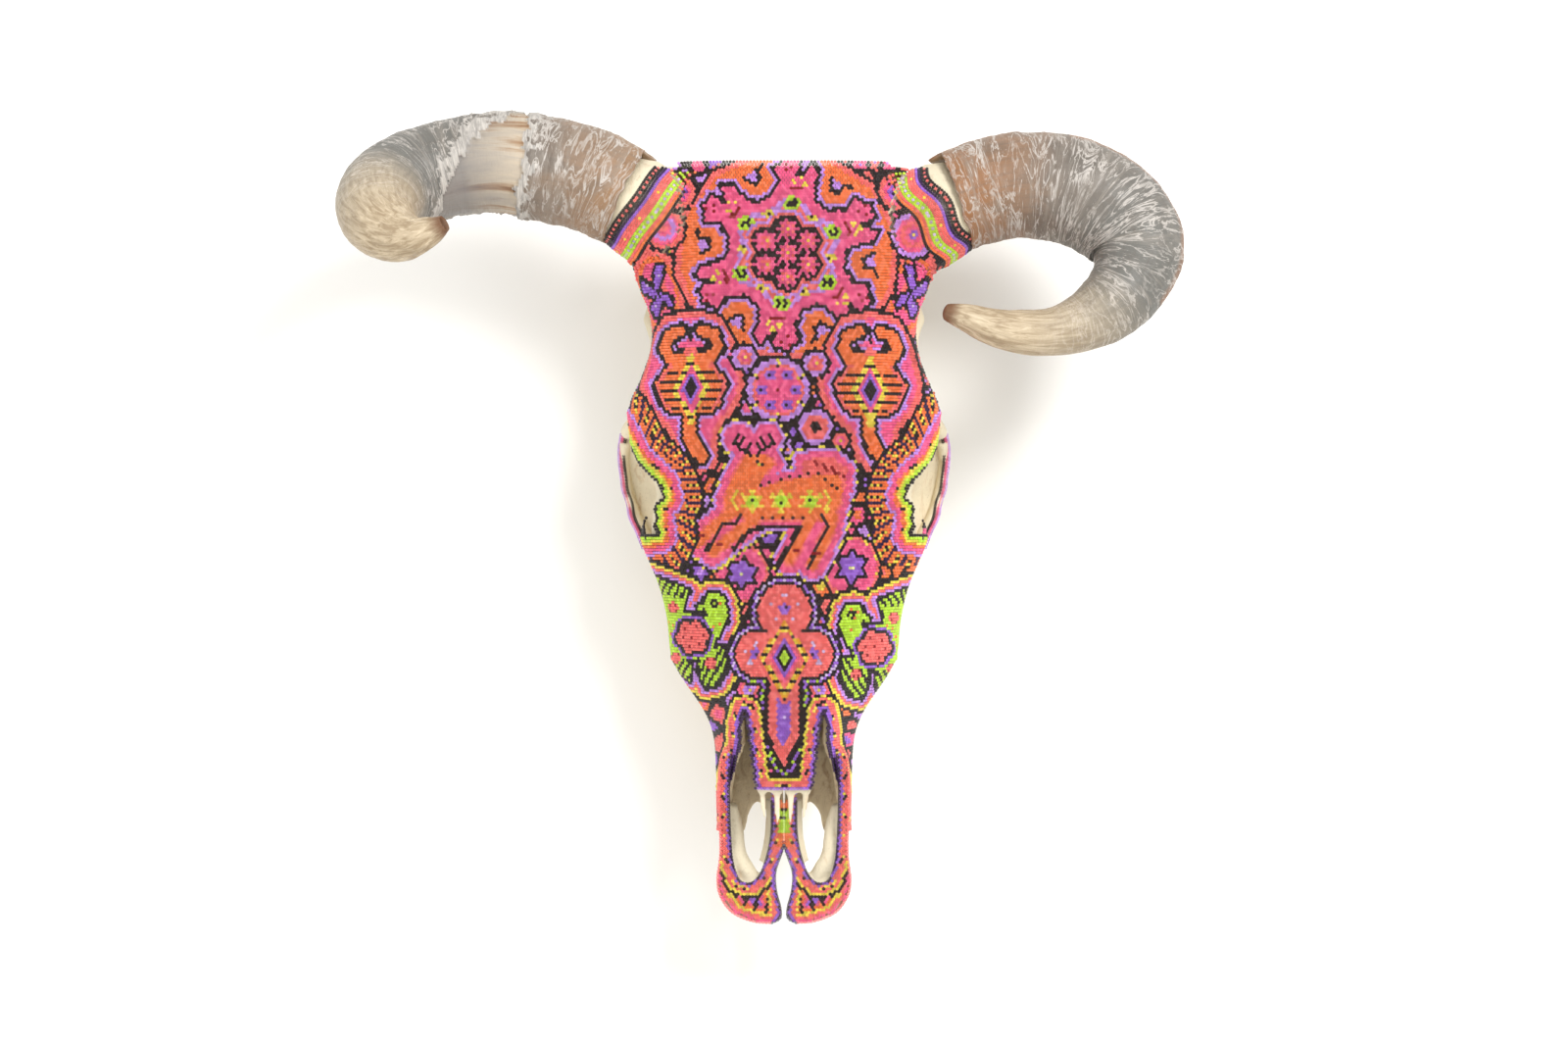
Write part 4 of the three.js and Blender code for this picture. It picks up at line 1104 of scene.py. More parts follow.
def horn_root(side):
    """The mouth of a sheath, and the directions out along the horn's root, up, and square to both."""
    places, _ = horn_stations(side)
    out = unit(places[1] - places[0])
    up = unit(np.array([0, 0, 1]) - out * out[2])
    return places[1], out, up, np.cross(out, up)


def collar_place(side, places):
    """How far inwards of the sheath's mouth places lie, their turn round its root, and how far off axis."""
    mouth, out, up, other = horn_root(side)
    away = places - mouth
    turn = np.arctan2(away @ other, away @ up)
    inward = -(away @ out)
    off_axis = np.linalg.norm(away + inward[:, None] * out, axis=1)
    return inward + WAVES[side] * np.sin(WAVE_COUNT * turn), turn, off_axis


def paint_collar(colours, places):
    """Rows round the root of each horn, over whatever was painted there."""
    colours = colours.copy()
    for side in SIDES:
        inward, turn, off_axis = collar_place(side, places)
        row = np.floor((inward - COLLAR_START) / ROW_STEP).astype(int)
        beside = np.mod(np.degrees(turn), 360)
        near = (row < len(COLLAR_ROWS)) & (off_axis < COLLAR_REACH) & (np.sign(places[:, 0]) == SIDES[side])
        for number, kind in enumerate(COLLAR_ROWS):
            here = near & (np.maximum(row, 0) == number)
            first, second, every = ACCENTS.get(kind, (kind, kind, 360))
            colours[here] = NAMES.index(first)
            colours[here & (np.mod(beside, every) < ACCENT_WIDTH)] = NAMES.index(second)
    return colours


COLLAR_DEPTH = 62  # the rings reach this far inwards, over the seam between collar and forehead
COLLAR_BEADS = 94  # in one ring
RINGS_COVER = 27  # inwards of the mouth only rings lie, and beyond it the face's own rows
TOP_ROWS = 5.0  # nearer to the poll than this the face keeps its own rows
NEIGHBOUR = 1.4  # beads of rings and rows are no closer than this
FIRST_RINGS = 3  # rings that lie on the bone edge of the horn's root
FIRST_RADIUS = 32.2
INSIDE_HORN = 24  # rays that come this close to the axis have passed through a gap
RAY_START = 56  # from the axis
STEEPEST = 0.12  # of a surface's normal along the ray, for a bead to lie on it
POLL_EDGE = 1.5  # hits nearer to the poll than this are on its flat top


def in_collar(places):
    """Which of the face's places are left to the rings round the horns' roots."""
    inside = np.zeros(len(places), bool)
    for side in SIDES:
        inward, _, off_axis = collar_place(side, places)
        beside = np.sign(places[:, 0]) == SIDES[side]
        inside |= (inward < RINGS_COVER) & (off_axis < COLLAR_REACH) & beside
    inside &= places[:, 2] < POLL_Z - TOP_ROWS
    return inside


def lay_collar(side, laid):
    """Rings of beads from the sheath towards the face, left out where a bead is laid already: their places,
    their normals and the directions that their rings run in."""
    tree = tree_of([f"horn_collar_beads_{side}", *FACE_NODES])
    taken = KDTree(len(laid))
    for number, place in enumerate(laid):
        taken.insert(place, number)
    taken.balance()
    mouth, out, up, other = horn_root(side)
    places, normals = [], []
    for ring, inward in enumerate(np.arange(COLLAR_START + ROW_STEP / 2, COLLAR_DEPTH, ROW_STEP)):
        for number in range(COLLAR_BEADS):
            turn = 2 * math.pi * (number + 0.5 * (ring % 2)) / COLLAR_BEADS
            centre = mouth - out * (inward - WAVES[side] * math.sin(WAVE_COUNT * turn))
            outward = up * math.cos(turn) + other * math.sin(turn)
            place, normal, _, _ = tree.ray_cast(Vector(centre + outward * RAY_START), Vector(-outward))
            radius = 0 if place is None else (place - Vector(centre)).length
            if ring < FIRST_RINGS and radius < FIRST_RADIUS:
                place, normal = Vector(centre + outward * FIRST_RADIUS), Vector(outward)
                radius = FIRST_RADIUS
            if radius < INSIDE_HORN or place.z > POLL_Z - POLL_EDGE:
                continue
            seat = place - BEAD_HALF_HEIGHT * Vector(outward)
            if taken.find(seat)[2] > NEIGHBOUR and normal.dot(Vector(outward)) > STEEPEST:
                places.append(np.array(seat))
                normals.append(unit(outward + np.array(normal)))
    places, normals = np.array(places), np.array(normals)
    return places, normals, np.cross(normals, out)


# ---- Beads on the muzzle
COVER_LIFT = 3.3  # of the beads' tops from the bone
MUZZLE_TOP = 380
MUZZLE_END = 503
MUZZLE_COLUMNS = 24  # from the midline outwards
MUZZLE_TILT = 0.93  # rows on the sloping muzzle are closer together from in front
EDGE_INSET = 0.6
SLOPE_STEP = 0.5
MUZZLE_OUTSIDE = [
    (38.5, 381), (41.2, 388), (42.5, 400), (42.5, 425), (42, 452), (44, 470), (42, 482), (34, 493), (20, 499),
    (8, 500), (2.8, 497), (2.6, 490), (5.5, 478), (6, 466), (2, 454), (-0.8, 446), (-0.8, 420),
]
MUZZLE_INSIDE = [
    (8, 420), (8.3, 440), (11, 455), (16, 468), (22.5, 473.5), (30, 471), (34.5, 458), (36, 438), (36.5, 410),
    (35.8, 396), (34.8, 385), (20, 385),
]
TIP = 9  # the number of the outline's lowest corner, where its outer side turns into the split


def smooth_share(value, start, end):
    """0 before start, 1 after end and a soft rise between them."""
    share = np.clip((value - start) / (end - start), 0, 1)
    return share * share * (3 - 2 * share)


def blend(first, second, share):
    """One value turning into another as share goes from 0 to 1."""
    return first + (second - first) * share


def muzzle_front(x, drop):
    """How far back the tops of the muzzle's beads lie."""
    on_side = blend(14, 56, smooth_share(drop, 350, 462))
    on_bar = blend(66, 57, smooth_share(drop, 420, 470))
    tip = 5 * smooth_share(drop, 470, 500)
    return blend(on_bar, on_side, smooth_share(x, 12, 30)) + tip - COVER_LIFT - LOCAL_Y


def lay_muzzle(side):
    """Rows of beads on the half muzzle: places, normals and flat coordinates."""
    flats = np.array([
        (abs(column + 0.5 * (row % 2)) * BEAD_PITCH, drop)
        for row, drop in enumerate(np.arange(MUZZLE_TOP, MUZZLE_END, ROW_STEP * MUZZLE_TILT))
        for column in range(MUZZLE_COLUMNS)
    ])
    first = -EDGE_INSET if side == "right" else EDGE_INSET  # the right half takes the beads on the midline
    kept = (polygon(flats, MUZZLE_OUTSIDE) < -EDGE_INSET) & (polygon(flats, MUZZLE_INSIDE) > EDGE_INSET)
    flats = flats[kept & (flats[:, 0] > first)]
    x, drop = flats.T
    step = SLOPE_STEP
    y = muzzle_front(x, drop)
    slope_x = (muzzle_front(x + step, drop) - muzzle_front(x - step, drop)) / (2 * step)
    slope_drop = (muzzle_front(x, drop + step) - muzzle_front(x, drop - step)) / (2 * step)
    places = np.stack([x, y, POLL_Z - drop], 1)
    normals = unit(np.stack([slope_x, np.full_like(x, -1), -slope_drop], 1))
    flip = np.array([SIDES[side], 1, 1])
    return (places - BEAD_HALF_HEIGHT * normals) * flip, normals * flip, flats


def paint_muzzle(flats):
    """Rows along the opening and the outer edge, and a comb of pink and orange teeth at the tip."""
    canvas = Canvas(flats)
    x, y = flats.T
    inside = polygon(flats, MUZZLE_INSIDE)
    outside = -polygon(flats, MUZZLE_OUTSIDE)
    split = np.where((x < 8) & (y > 440), outside, FAR)
    teeth = np.where(np.mod(x - 0.25 * (y - 480), 7.7) > 2.6, outside, FAR)
    canvas.paint(teeth, (FAR, "violet"), (11.5, "pink"), (9.0, "orange"))
    canvas.paint(outside, (6.4, "yellow"), (4.4, "salmon"), (2.2, "pink"))
    canvas.paint(inside, (10.6, "black"), (8.6, "yellow"), (6.6, "salmon"), (2.2, "violet"))
    canvas.paint(split, (6.2, "salmon"), (2.2, "violet"))
    bar = (x < 12) & (y < 450)
    canvas.fill(bar & (inside >= 4.4), "orange")
    canvas.fill(bar & (x < 3.4) & (y > 424) & (y < 440), "lime")
    canvas.dot(flats, "black", (1, 430), (1, 424), (4.5, 436), (4.5, 444), (2.5, 418))
    middle_row = (inside > 3.0) & (inside < 5.0)
    along = np.mod(y + 0.5 * x, 14)
    canvas.fill(middle_row & (along < 1.9), "black")
    canvas.fill(middle_row & (along > 12.1), "yellow")
    return canvas.colours


# ---- Strands of beads that turn the edges
# The beaded outer rim of each eye socket, in front of its bone, from top to bottom: x, depth and drop.
SOCKET_RIM = [
    (105, 60, 175), (107, 68, 184), (107, 72, 194), (106, 76, 203), (105, 77, 212), (102, 76, 220),
    (100, 71, 230), (95, 64, 240), (90, 57, 252),
]
RIM_STRANDS = ((0, 0, "black"), (2.0, 1.2, "pink"), (3.6, 3.2, "lilac"))  # aside, farther back, colour
EDGE_STRANDS = (("plum", "salmon"), ("black", "pink"))  # on the openings, and on the muzzle's outer edge
STRAND_STEP = 1.9
CURVE_STEPS = 24  # between two points that a line goes through


def curve_through(points, spacing):
    """Places evenly spaced along a smooth line through points, with any values past x, y and z carried
    along; how far along the line each lies; and the line's whole length."""
    points = np.asarray(points, float)
    padded = np.vstack([2 * points[0] - points[1], points, 2 * points[-1] - points[-2]])
    fine = []
    for a, b, c, d in zip(padded[:-3], padded[1:-2], padded[2:-1], padded[3:]):
        for t in np.linspace(0, 1, CURVE_STEPS, endpoint=False):
            square = (2 * a - 5 * b + 4 * c - d) * t**2
            cube = (3 * b - a - 3 * c + d) * t**3
            fine.append(0.5 * (2 * b + (c - a) * t + square + cube))
    fine.append(points[-1])
    fine = np.array(fine)
    length = np.concatenate([[0], np.cumsum(np.linalg.norm(np.diff(fine[:, :3], axis=0), axis=1))])
    even = np.arange(0, length[-1], spacing)
    line = np.stack([np.interp(even, length, values) for values in fine.T], 1)
    return line, even, length[-1]


def strands_of_half():
    """The lines of beads on the right half, each with its colour."""
    for number, (inner, outer) in enumerate(EDGE_STRANDS):
        back = 1.0 + STRAND_STEP * number
        for corners, colour in (
            (MUZZLE_INSIDE[:-1], inner), (MUZZLE_OUTSIDE[TIP:-1], inner), (MUZZLE_OUTSIDE[:TIP + 1], outer),
        ):
            yield [(x, muzzle_front(x, drop) + back, POLL_Z - drop) for x, drop in corners], colour
    for aside, back, colour in RIM_STRANDS:
        yield [(x + aside, y + back - LOCAL_Y, POLL_Z - drop) for x, y, drop in SOCKET_RIM], colour


def add_strands():
    """Threaded rows round the openings of the nose, the muzzle's edges and split, and the eye sockets."""
    places, colours = [], []
    for flip in (-1, 1):
        for points, colour in strands_of_half():
            line, _, _ = curve_through(points, BEAD_PITCH)
            places.append(line * (flip, 1, 1))
            colours.append(np.full(len(line), NAMES.index(colour)))
    places, colours = np.concatenate(places), np.concatenate(colours)
    normals = np.tile([0.0, -1, 0], (len(places), 1))
    add_beads("edge_strands", places, normals, all_across(places), colours)


# ---- Horn sheaths
HORN_SIDES = 128
SHEATH_STEP = 1.5
CAVITY_LENGTH = 88
# The cavity's rows: how far from the mouth, and their radius.
CAVITY = np.array([
    (CAVITY_LENGTH, 9.6), (CAVITY_LENGTH * 0.66, 15.5), (CAVITY_LENGTH * 0.33, 21.5), (14, 26.5), (7, 29.5),
    (5.2, 31.0),
])
# The rows that close each tip: how far past the last station and what share of its radius; and the end point.
TIPS = {
    "left": ([(0.4, 0.92), (-1.0, 0.72), (-6.0, 0.5), (-11.0, 0.3)], -11.5),  # broken off and hollow
    "right": ([(1.2, 0.86), (2.2, 0.6), (2.8, 0.3)], 3.0),
}
NOISE_SEEDS = {"left": 31.0, "right": 7.0}
MOUTH_GRAIN = 3.3
MOUTH_REACH = 14  # the ragged mouth moves rows this far along the horn
SPLINTER = {"left": (0.35, 8.0), "right": (6.0, 9.0)}  # its turn round the mouth and its length
SPLINTER_WIDTH = 0.15
TORN = {"left": (72, 150), "right": None}  # where the outer layer has come off, along the horn
WARMTH = {"left": 0.35, "right": 0.9}  # how brown the keratin is at the mouth
WARM_LENGTH = 75
BEND_MIDDLE = (165, 0, POLL_Z - 65)  # of the right horn, whose outer bend has a brown streak


def carried_frames(tangents, first):
    """A direction square to each tangent, turned as little as possible from one to the next."""
    frames = [unit(first - tangents[0] * (first @ tangents[0]))]
    for tangent in tangents[1:]:
        frames.append(unit(frames[-1] - tangent * (frames[-1] @ tangent)))
    return np.array(frames)


def rough(points, octaves, seed):
    """Noise of about -1 to 1 at each point."""
    shift = Vector((seed, 0, 0))
    return np.array([noise.fractal(Vector(place) + shift, 1.0, 2.1, octaves) for place in points])


def keratin_relief(side, straight, growth, round_it):
    """How far the surface is lifted, and how torn: 1 where its outer layer is gone, 0.5 on the edges."""
    def read(stretch, octaves, shift):
        """Noise over the surface, drawn out along the axes with a small stretch."""
        places = straight.reshape(-1, 3) * stretch
        return rough(places, octaves, NOISE_SEEDS[side] + shift).reshape(growth.shape)

    rings = read((0.1, 0.02, 0.02), 3, 0)
    flakes = read((0.5, 0.09, 0.09), 5, 3)
    fibres = read((0.02, 0.42, 0.42), 4, 5)
    body_share = 1 - np.clip((growth - 0.55) / 0.25, 0, 1)
    lift = body_share * (0.75 * rings + 0.55 * np.abs(flakes)) + (1 - body_share) * 0.5 * fibres - 0.4
    if not TORN[side]:
        return lift, np.zeros_like(lift)
    start, end = TORN[side]
    along = straight[..., 0]
    edge = 5 * read((0.14, 0.14, 0.14), 4, 9)
    low = (1 - round_it[..., 2]) / 2
    reached = start + 6 + (end - start) * low + 1.6 * edge
    visible = -round_it[..., 1] > -0.25 + 0.05 * edge
    inside = (along > start + edge) & (along < reached) & visible
    beyond = (along >= reached) & (along < reached + 16 + 2 * edge) & visible
    before = (along <= start + edge) & (along > start - 7 + 2 * edge) & visible
    edges = beyond | before
    lift = np.where(edges, lift + 0.5 + 0.6 * np.abs(flakes), lift)
    lift = np.where(inside, 0.12 * fibres - 1.9, lift)
    return lift, np.where(inside, 1.0, np.where(edges, 0.5, 0.0))


def keratin_warmth(side, line, along, growth, round_it):
    """How brown the keratin is: towards the mouth, and on the right horn in a streak on its outer bend."""
    warm = WARMTH[side] * np.clip(1 - along / WARM_LENGTH, 0, 1)[:, None]
    warm = np.broadcast_to(warm, growth.shape)
    if side == "left":
        return warm
    bend = unit((line[:, :3] - BEND_MIDDLE) * (1, 0, 1))
    outwards = (round_it * bend[:, None]).sum(-1)
    streak = smooth_share(outwards, 0.84, 0.97) * (-round_it[..., 1] > 0.05)
    return np.maximum(warm, 0.9 * streak * (growth > 0.24) * (growth < 0.56))


def mouth_push(side, along, turns):
    """How far the outer rows are moved along the horn: a ragged mouth, with one long splinter on top."""
    around_mouth = np.stack([MOUTH_GRAIN * np.cos(turns), MOUTH_GRAIN * np.sin(turns), 0 * turns], 1)
    turn, length = SPLINTER[side]
    splinter = length * np.exp(-(((turns - turn) / SPLINTER_WIDTH) ** 2))
    mouth = 1.4 + 1.8 * rough(around_mouth, 4, NOISE_SEEDS[side]) - splinter
    return np.clip(1 - along / MOUTH_REACH, 0, 1)[:, None] * mouth[None]


def cavity_rows(axis, root, turns, first_row):
    """The rows of the cavity that holds the core, from its end to the mouth, whose edge is given."""
    runs, widths = CAVITY.T
    up = unit(np.array([0, 0, 1.0]) - axis * axis[2])
    round_it = circle_of(up, np.cross(axis, up), turns)
    inner = root + axis * runs[:, None, None] + round_it[None] * widths[:, None, None]
    inner[-1] = first_row + (root - first_row) * 0.07 + axis * 0.8
    straight = np.stack([
        np.broadcast_to(-runs[:, None], (len(runs), HORN_SIDES)),
        widths[:, None] * np.cos(turns), widths[:, None] * np.sin(turns),
    ], -1)
    return inner, straight


def set_attribute(piece, name, kind, field, values):
    """Values stored on a piece's points, for its material."""
    attribute = piece.data.attributes.new(name, kind, "POINT")
    attribute.data.foreach_set(field, values.astype(np.float32).ravel())


def horn_sheath(side):
    """A hollow keratin sheath: its cavity, its outer surface up to the tip, and its attributes."""
    places, radii = horn_stations(side)
    line, along, total = curve_through(np.hstack([places[1:], radii[1:, None]]), SHEATH_STEP)
    tangents = unit(np.gradient(line[:, :3], axis=0))
    up = carried_frames(tangents, np.array([0.0, 0, 1]))
    turns = turns_of(HORN_SIDES)
    round_it = circle_of(up[:, None], np.cross(tangents, up)[:, None], turns)
    straight = np.stack(np.broadcast_arrays(
        along[:, None], line[:, 3:4] * np.cos(turns), line[:, 3:4] * np.sin(turns),
    ), -1)
    growth = np.broadcast_to((along / total)[:, None], straight.shape[:2])
    lift, torn = keratin_relief(side, straight, growth, round_it)
    warm = keratin_warmth(side, line, along, growth, round_it)
    outer = line[:, None, :3] + round_it * (line[:, 3:4] + lift)[..., None]
    outer = outer + tangents[:, None] * mouth_push(side, along, turns)[..., None]

    axis = unit([SIDES[side], 0, CORE_RISE[side]])
    inner, inner_straight = cavity_rows(axis, line[0, :3], turns, outer[0])
    tip_rows, cap_shift = TIPS[side]
    tip = [
        places[-1] + tangents[-1] * shift + round_it[-1] * (radii[-1] * share)
        for shift, share in tip_rows
    ]
    rows = np.concatenate([inner, outer, tip])
    cavity_end = line[0, :3] + axis * (CAVITY_LENGTH + 3)
    cap = places[-1] + tangents[-1] * cap_shift
    vertices = np.concatenate([rows.reshape(-1, 3), [cavity_end, cap]])

    faces = grid_faces(len(rows), HORN_SIDES, wrap=True)
    count = len(rows) * HORN_SIDES
    for number in range(HORN_SIDES):
        after = (number + 1) % HORN_SIDES
        faces.append([count, after, number])
        faces.append([count + 1, count - HORN_SIDES + number, count - HORN_SIDES + after])
    faces = [face[::-1] for face in faces] if side == "right" else faces
    name = f"horn_sheath_keratin_{side}"
    piece = make_piece(name, vertices, faces, [KERATIN], BODIES[side], [f"horn_sheath_{side}"])
    in_cavity = np.zeros((len(inner), HORN_SIDES))
    for name, values, at_tip in (("growth", growth, 1), ("torn", torn, 0), ("warm", warm, 0)):
        on_tip = np.full((len(tip), HORN_SIDES), at_tip)
        values = np.concatenate([in_cavity, values, on_tip]).ravel()
        set_attribute(piece, name, "FLOAT", "value", np.append(values, values[[0, -1]]))
    straight = np.concatenate([inner_straight, straight, np.repeat(straight[-1:], len(tip), 0)])
    straight = np.concatenate([straight.reshape(-1, 3), np.zeros((2, 3))])
    set_attribute(piece, "straight", "FLOAT_VECTOR", "vector", straight * MM)


# ---- Bones and teeth
BONES = [
    "occipital", "parietal", "sphenoid", "vomer", "frontal", "temporal", "nasal", "lacrimal", "zygomatic",
    "maxilla", "incisive", "palatine", "nasal_concha",
]
TEETH = ["premolar_2", "premolar_3", "premolar_4", "molar_1", "molar_2", "molar_3"]
INNER = ["nasal_concha", "vomer", "palatine", "maxilla"]  # bones with the darker, stained finish
# Voxel, rounds of smoothing, height of the relief and size of its lumps.
BONE_FINISH = (1.5, 4, 0.9, 9)
TOOTH_FINISH = (0.9, 3, 0.7, 4)
SOCKET_FINISH = (1.2, 3, 0.8, 8)


def clouds(name, size):
    """A cloudy texture for relief, its lumps of the given size."""
    texture = bpy.data.textures.new(name, "CLOUDS")
    texture.noise_scale = size * MM
    return texture


def weathered(name, voxel, smoothing, relief, size):
    """Modifiers that round a mesh off and give it a slight relief: its height and the size of its lumps."""
    texture = clouds(f"{name}_relief", size)
    return (
        ("REMESH", {"mode": "VOXEL", "voxel_size": voxel * MM}),
        ("SMOOTH", {"factor": 0.5, "iterations": smoothing}),
        ("DISPLACE", {"texture": texture, "strength": relief * MM, "mid_level": 0.5}),
    )


def add_bones():
    """A fine, rounded and slightly uneven piece in place of each bone and tooth of the CAD."""
    for name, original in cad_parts.items():
        kind = name.replace("_right", "").replace("_left", "")
        if kind not in BONES + TEETH:
            continue
        mesh = original.data.copy()
        mesh.materials.clear()
        if kind in TEETH:
            mesh = with_modifiers(mesh, *weathered(name, *TOOTH_FINISH))
            add_piece(f"{name}_enamel", mesh, [TOOTH], SKULL, [name])
        else:
            mesh = with_modifiers(mesh, *weathered(name, *BONE_FINISH))
            material = INNER_BONE if kind in INNER else BONE
            add_piece(f"{name}_bone", mesh, [material], SKULL, [name])


RIM = [(18, 29.5), (9, 31.2), (3, 31.0), (-2, 28.4), (-8, 25.6)]  # inwards of the mouth, and radius
RIM_THICKNESS = 3
ROUND_SIDES = 64


def add_root_edge(side):
    """The porous bone that shows between the last row of beads and the sheath."""
    mouth, out, up, other = horn_root(side)
    round_it = circle_of(up, other, turns_of(ROUND_SIDES))
    section = RIM + [(inward, radius - RIM_THICKNESS) for inward, radius in reversed(RIM)]
    vertices = np.concatenate([mouth - out * inward + round_it * radius for inward, radius in section])
    faces = grid_faces(len(section), ROUND_SIDES, wrap=True)
    last = (len(section) - 1) * ROUND_SIDES
    for number in range(ROUND_SIDES):
        after = (number + 1) % ROUND_SIDES
        faces.append([last + number, last + after, after, number])
    make_piece(f"horn_root_edge_{side}", vertices, faces, [BONE], SKULL)


# The inner edge of each eye socket and its outer rim, from top to bottom: x, depth and drop.
SOCKET_INNER = [
    (100, 40, 172), (98, 42, 184), (92, 41, 194), (86, 39, 203), (81, 38, 212), (80, 38, 220), (82, 40, 230),
    (84, 44, 240), (88, 50, 250),
]
SOCKET_OUTER = [
    (105, 66, 175), (107, 74, 184), (107, 80, 194), (106, 84, 203), (105, 86, 212), (102, 85, 220),
    (100, 82, 230), (95, 76, 240), (90, 64, 252),
]
SOCKET_SAG = 13
SAG_DIRECTION = np.array([-0.55, 0.85, 0])
SOCKET_ACROSS = 16
SOCKET_STEP = 2.0
SOCKET_THICKNESS = 2.4


def add_socket(side):
    """The bone lining of an eye socket, a sheet that sags between its two edges."""
    inner, _, _ = curve_through(SOCKET_INNER, SOCKET_STEP)
    outer, _, _ = curve_through(SOCKET_OUTER, SOCKET_STEP)
    share = np.linspace(0, 1, len(inner))
    evenly = np.linspace(0, 1, len(outer))
    matched = np.stack([np.interp(share, evenly, values) for values in outer.T], 1)
    across = np.linspace(0, 1, SOCKET_ACROSS)[None, :, None]
    sag = SOCKET_SAG * np.sin(np.pi * across) * np.sin(np.pi * share)[:, None, None] ** 0.5
    x, depth, drop = (inner[:, None] * (1 - across) + matched[:, None] * across + sag * SAG_DIRECTION).T
    places = np.stack([SIDES[side] * x.T, depth.T - LOCAL_Y, POLL_Z - drop.T], -1).reshape(-1, 3)
    mesh = bpy.data.meshes.new(f"eye_socket_{side}")
    mesh.from_pydata((places * MM).tolist(), [], grid_faces(len(inner), SOCKET_ACROSS))
    thickened = ("SOLIDIFY", {"thickness": SOCKET_THICKNESS * MM, "offset": 0})
    lining = with_modifiers(mesh, thickened, *weathered(f"socket_{side}", *SOCKET_FINISH))
    add_piece(f"eye_socket_{side}", lining, [BONE], SKULL)


# ---- Wax under the beads
WAX_DEPTH = 1.35  # below the tops of the beads
WAX_THICKNESS = 0.6
WAX_STEP = 2.0
WAX_INSET = 0.5  # from the edges of the openings


def add_face_wax():
    """The sheet of wax that the face's beads are pressed into."""
    rows = np.arange(HEIGHTS[0] + 1, HEIGHTS[-1] - 1, WAX_STEP)
    angles = ANGLES[::2]
    places, kept = [], []
    for z in rows:
        spots, _ = face_points(z, angles, -WAX_DEPTH)
        there = ~np.isnan(face_at(FACE, np.full_like(angles, z), angles)) & ~np.isnan(spots[:, 0])
        flats = np.stack([spots[:, 0], np.full_like(angles, POLL_Z - z)], 1)
        there &= outside_openings(flats, WAX_INSET)
        places.append(np.where(np.isnan(spots), 0, spots))
        kept.append(there)
    kept = np.array(kept)
    index = np.arange(kept.size).reshape(kept.shape)
    cells = kept[:-1, :-1] & kept[1:, :-1] & kept[:-1, 1:] & kept[1:, 1:]
    used, renumbered = np.unique(quads_of(index)[cells], return_inverse=True)
    vertices = np.concatenate(places)[used]
    mesh = bpy.data.meshes.new("face_wax")
    mesh.from_pydata((vertices * MM).tolist(), [], renumbered.reshape(-1, 4).tolist())
    sheet = with_modifiers(mesh, ("SOLIDIFY", {"thickness": WAX_THICKNESS * MM, "offset": -1.0}))
    add_piece("face_wax", sheet, [WAX], SKULL)


# ---- Camera, wall and light
# These lengths are in metres.
SENSOR = 36  # its width and the lens are in true millimetres
LENS = 71
CAMERA_PLACE = (0, -2.116, -0.2065)
SKULL_MIDDLE = (0, 0, -0.2)
# Each lamp's place, size and power.
LAMPS = {"key": ((1.3, -2.2, 1.2), 0.9, 60), "fill": ((-1.8, -1.8, 0.2), 1.8, 18)}
SKY_COLOUR = (1, 0.99, 0.97, 1)
SKY_STRENGTH = 0.8
WALL_Y = 0.0285
WALL_TOP = 3
FLOOR_Z = -1.4
ROOM_REACH = 4  # to either side
FLOOR_REACH = 5  # to the front and back


def add_camera():
    """A level camera straight in front of the skull."""
    camera = bpy.data.objects.new("camera", bpy.data.cameras.new("camera"))
    camera.data.sensor_width = SENSOR
    camera.data.lens = LENS
    camera.location = CAMERA_PLACE
    camera.rotation_euler = (math.pi / 2, 0, 0)
    bpy.context.scene.collection.objects.link(camera)
    bpy.context.scene.camera = camera


def add_light():
    """A pale sky all round, and two soft lamps that face the skull."""
    world = bpy.data.worlds.new("studio")
    world.use_nodes = True
    sky = world.node_tree.nodes["Background"]
    sky.inputs["Color"].default_value = SKY_COLOUR
    sky.inputs["Strength"].default_value = SKY_STRENGTH
    bpy.context.scene.world = world
    bpy.context.scene.view_settings.view_transform = "Standard"
    for name, (place, size, power) in LAMPS.items():
        lamp = bpy.data.lights.new(name, "AREA")
        lamp.energy = power
        lamp.size = size
        light = bpy.data.objects.new(name, lamp)
        light.location = place
        aim = Vector(SKULL_MIDDLE) - Vector(place)
        light.rotation_euler = aim.to_track_quat("-Z", "Y").to_euler()
        bpy.context.scene.collection.objects.link(light)


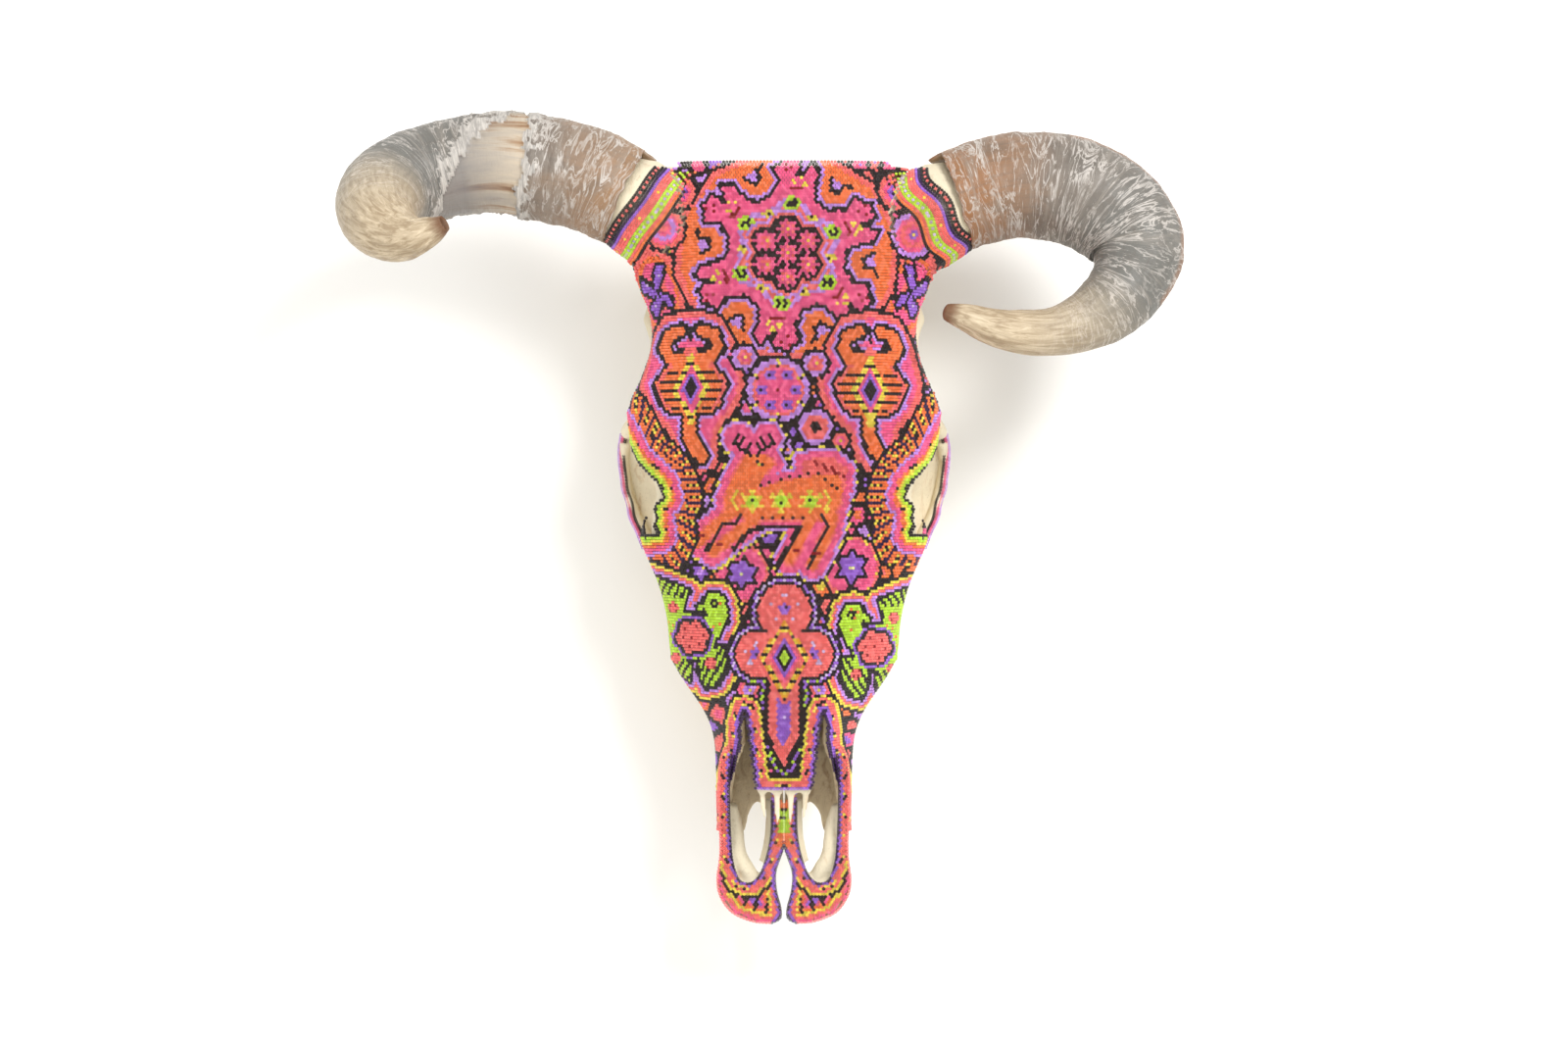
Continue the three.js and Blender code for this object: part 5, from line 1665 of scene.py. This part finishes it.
def add_wall():
    """A plain white wall behind the skull and a floor below. Both show from their front sides only, so that
    the back of the skull can be looked at."""
    material, tree, principled = shader("white_wall", Roughness=0.9, Specular_IOR_Level=0.1)
    principled.inputs["Base Color"].default_value = linear(250, 249, 246)
    output = tree.nodes["Material Output"]
    facing = node(tree, "NewGeometry").outputs["Backfacing"]
    clear = node(tree, "BsdfTransparent").outputs["BSDF"]
    shown = node(tree, "MixShader", [(0, facing), (1, principled.outputs["BSDF"]), (2, clear)])
    tree.links.new(shown.outputs["Shader"], output.inputs["Surface"])
    for name, near, far in (
        ("wall", (WALL_Y, FLOOR_Z), (WALL_Y, WALL_TOP)),
        ("floor", (-FLOOR_REACH, FLOOR_Z), (FLOOR_REACH, FLOOR_Z)),
    ):
        corners = [(-ROOM_REACH, *near), (ROOM_REACH, *near), (ROOM_REACH, *far), (-ROOM_REACH, *far)]
        mesh = bpy.data.meshes.new(name)
        mesh.from_pydata(corners, [], [(0, 1, 2, 3)])
        mesh.materials.append(material)
        plane = bpy.data.objects.new(name, mesh)
        bpy.context.scene.collection.objects.link(plane)
        plane.visible_shadow = name == "floor"
        plane.visible_diffuse = name == "floor"


def all_across(places):
    """Every bead threaded from side to side."""
    return np.tile([1.0, 0.0, 0.0], (len(places), 1))


def add_beadwork():
    """All beads: the face's, then each side's collar and muzzle, then the strands."""
    face_places, normals, flats = lay_face()
    on_nose = flats[:, 1] > NOSE_EDGES_TOP
    flats[on_nose, 0] = face_places[on_nose, 0]
    kept = outside_openings(flats, 0) & ~in_collar(face_places)
    face_places, normals, flats = face_places[kept], normals[kept], flats[kept]
    add_beads("face_beads", face_places, normals, all_across(face_places), paint_face(flats), FACE_NODES)
    for side in SIDES:
        places, normals, alongs = lay_collar(side, face_places)
        flats = np.stack([places[:, 0], POLL_Z - places[:, 2]], 1)
        colours = paint_collar(paint_face(flats), places)
        add_beads(f"collar_beads_{side}", places, normals, alongs, colours, [f"horn_collar_beads_{side}"])
        places, normals, flats = lay_muzzle(side)
        colours = paint_muzzle(flats)
        name = f"muzzle_edge_beads_{side}"
        add_beads(name, places, normals, all_across(places), colours, [f"muzzle_beads_{side}"])
    add_strands()


add_camera()
add_light()
add_wall()
add_bones()
add_face_wax()
add_beadwork()
for side_name in SIDES:
    add_root_edge(side_name)
    add_socket(side_name)
    horn_sheath(side_name)
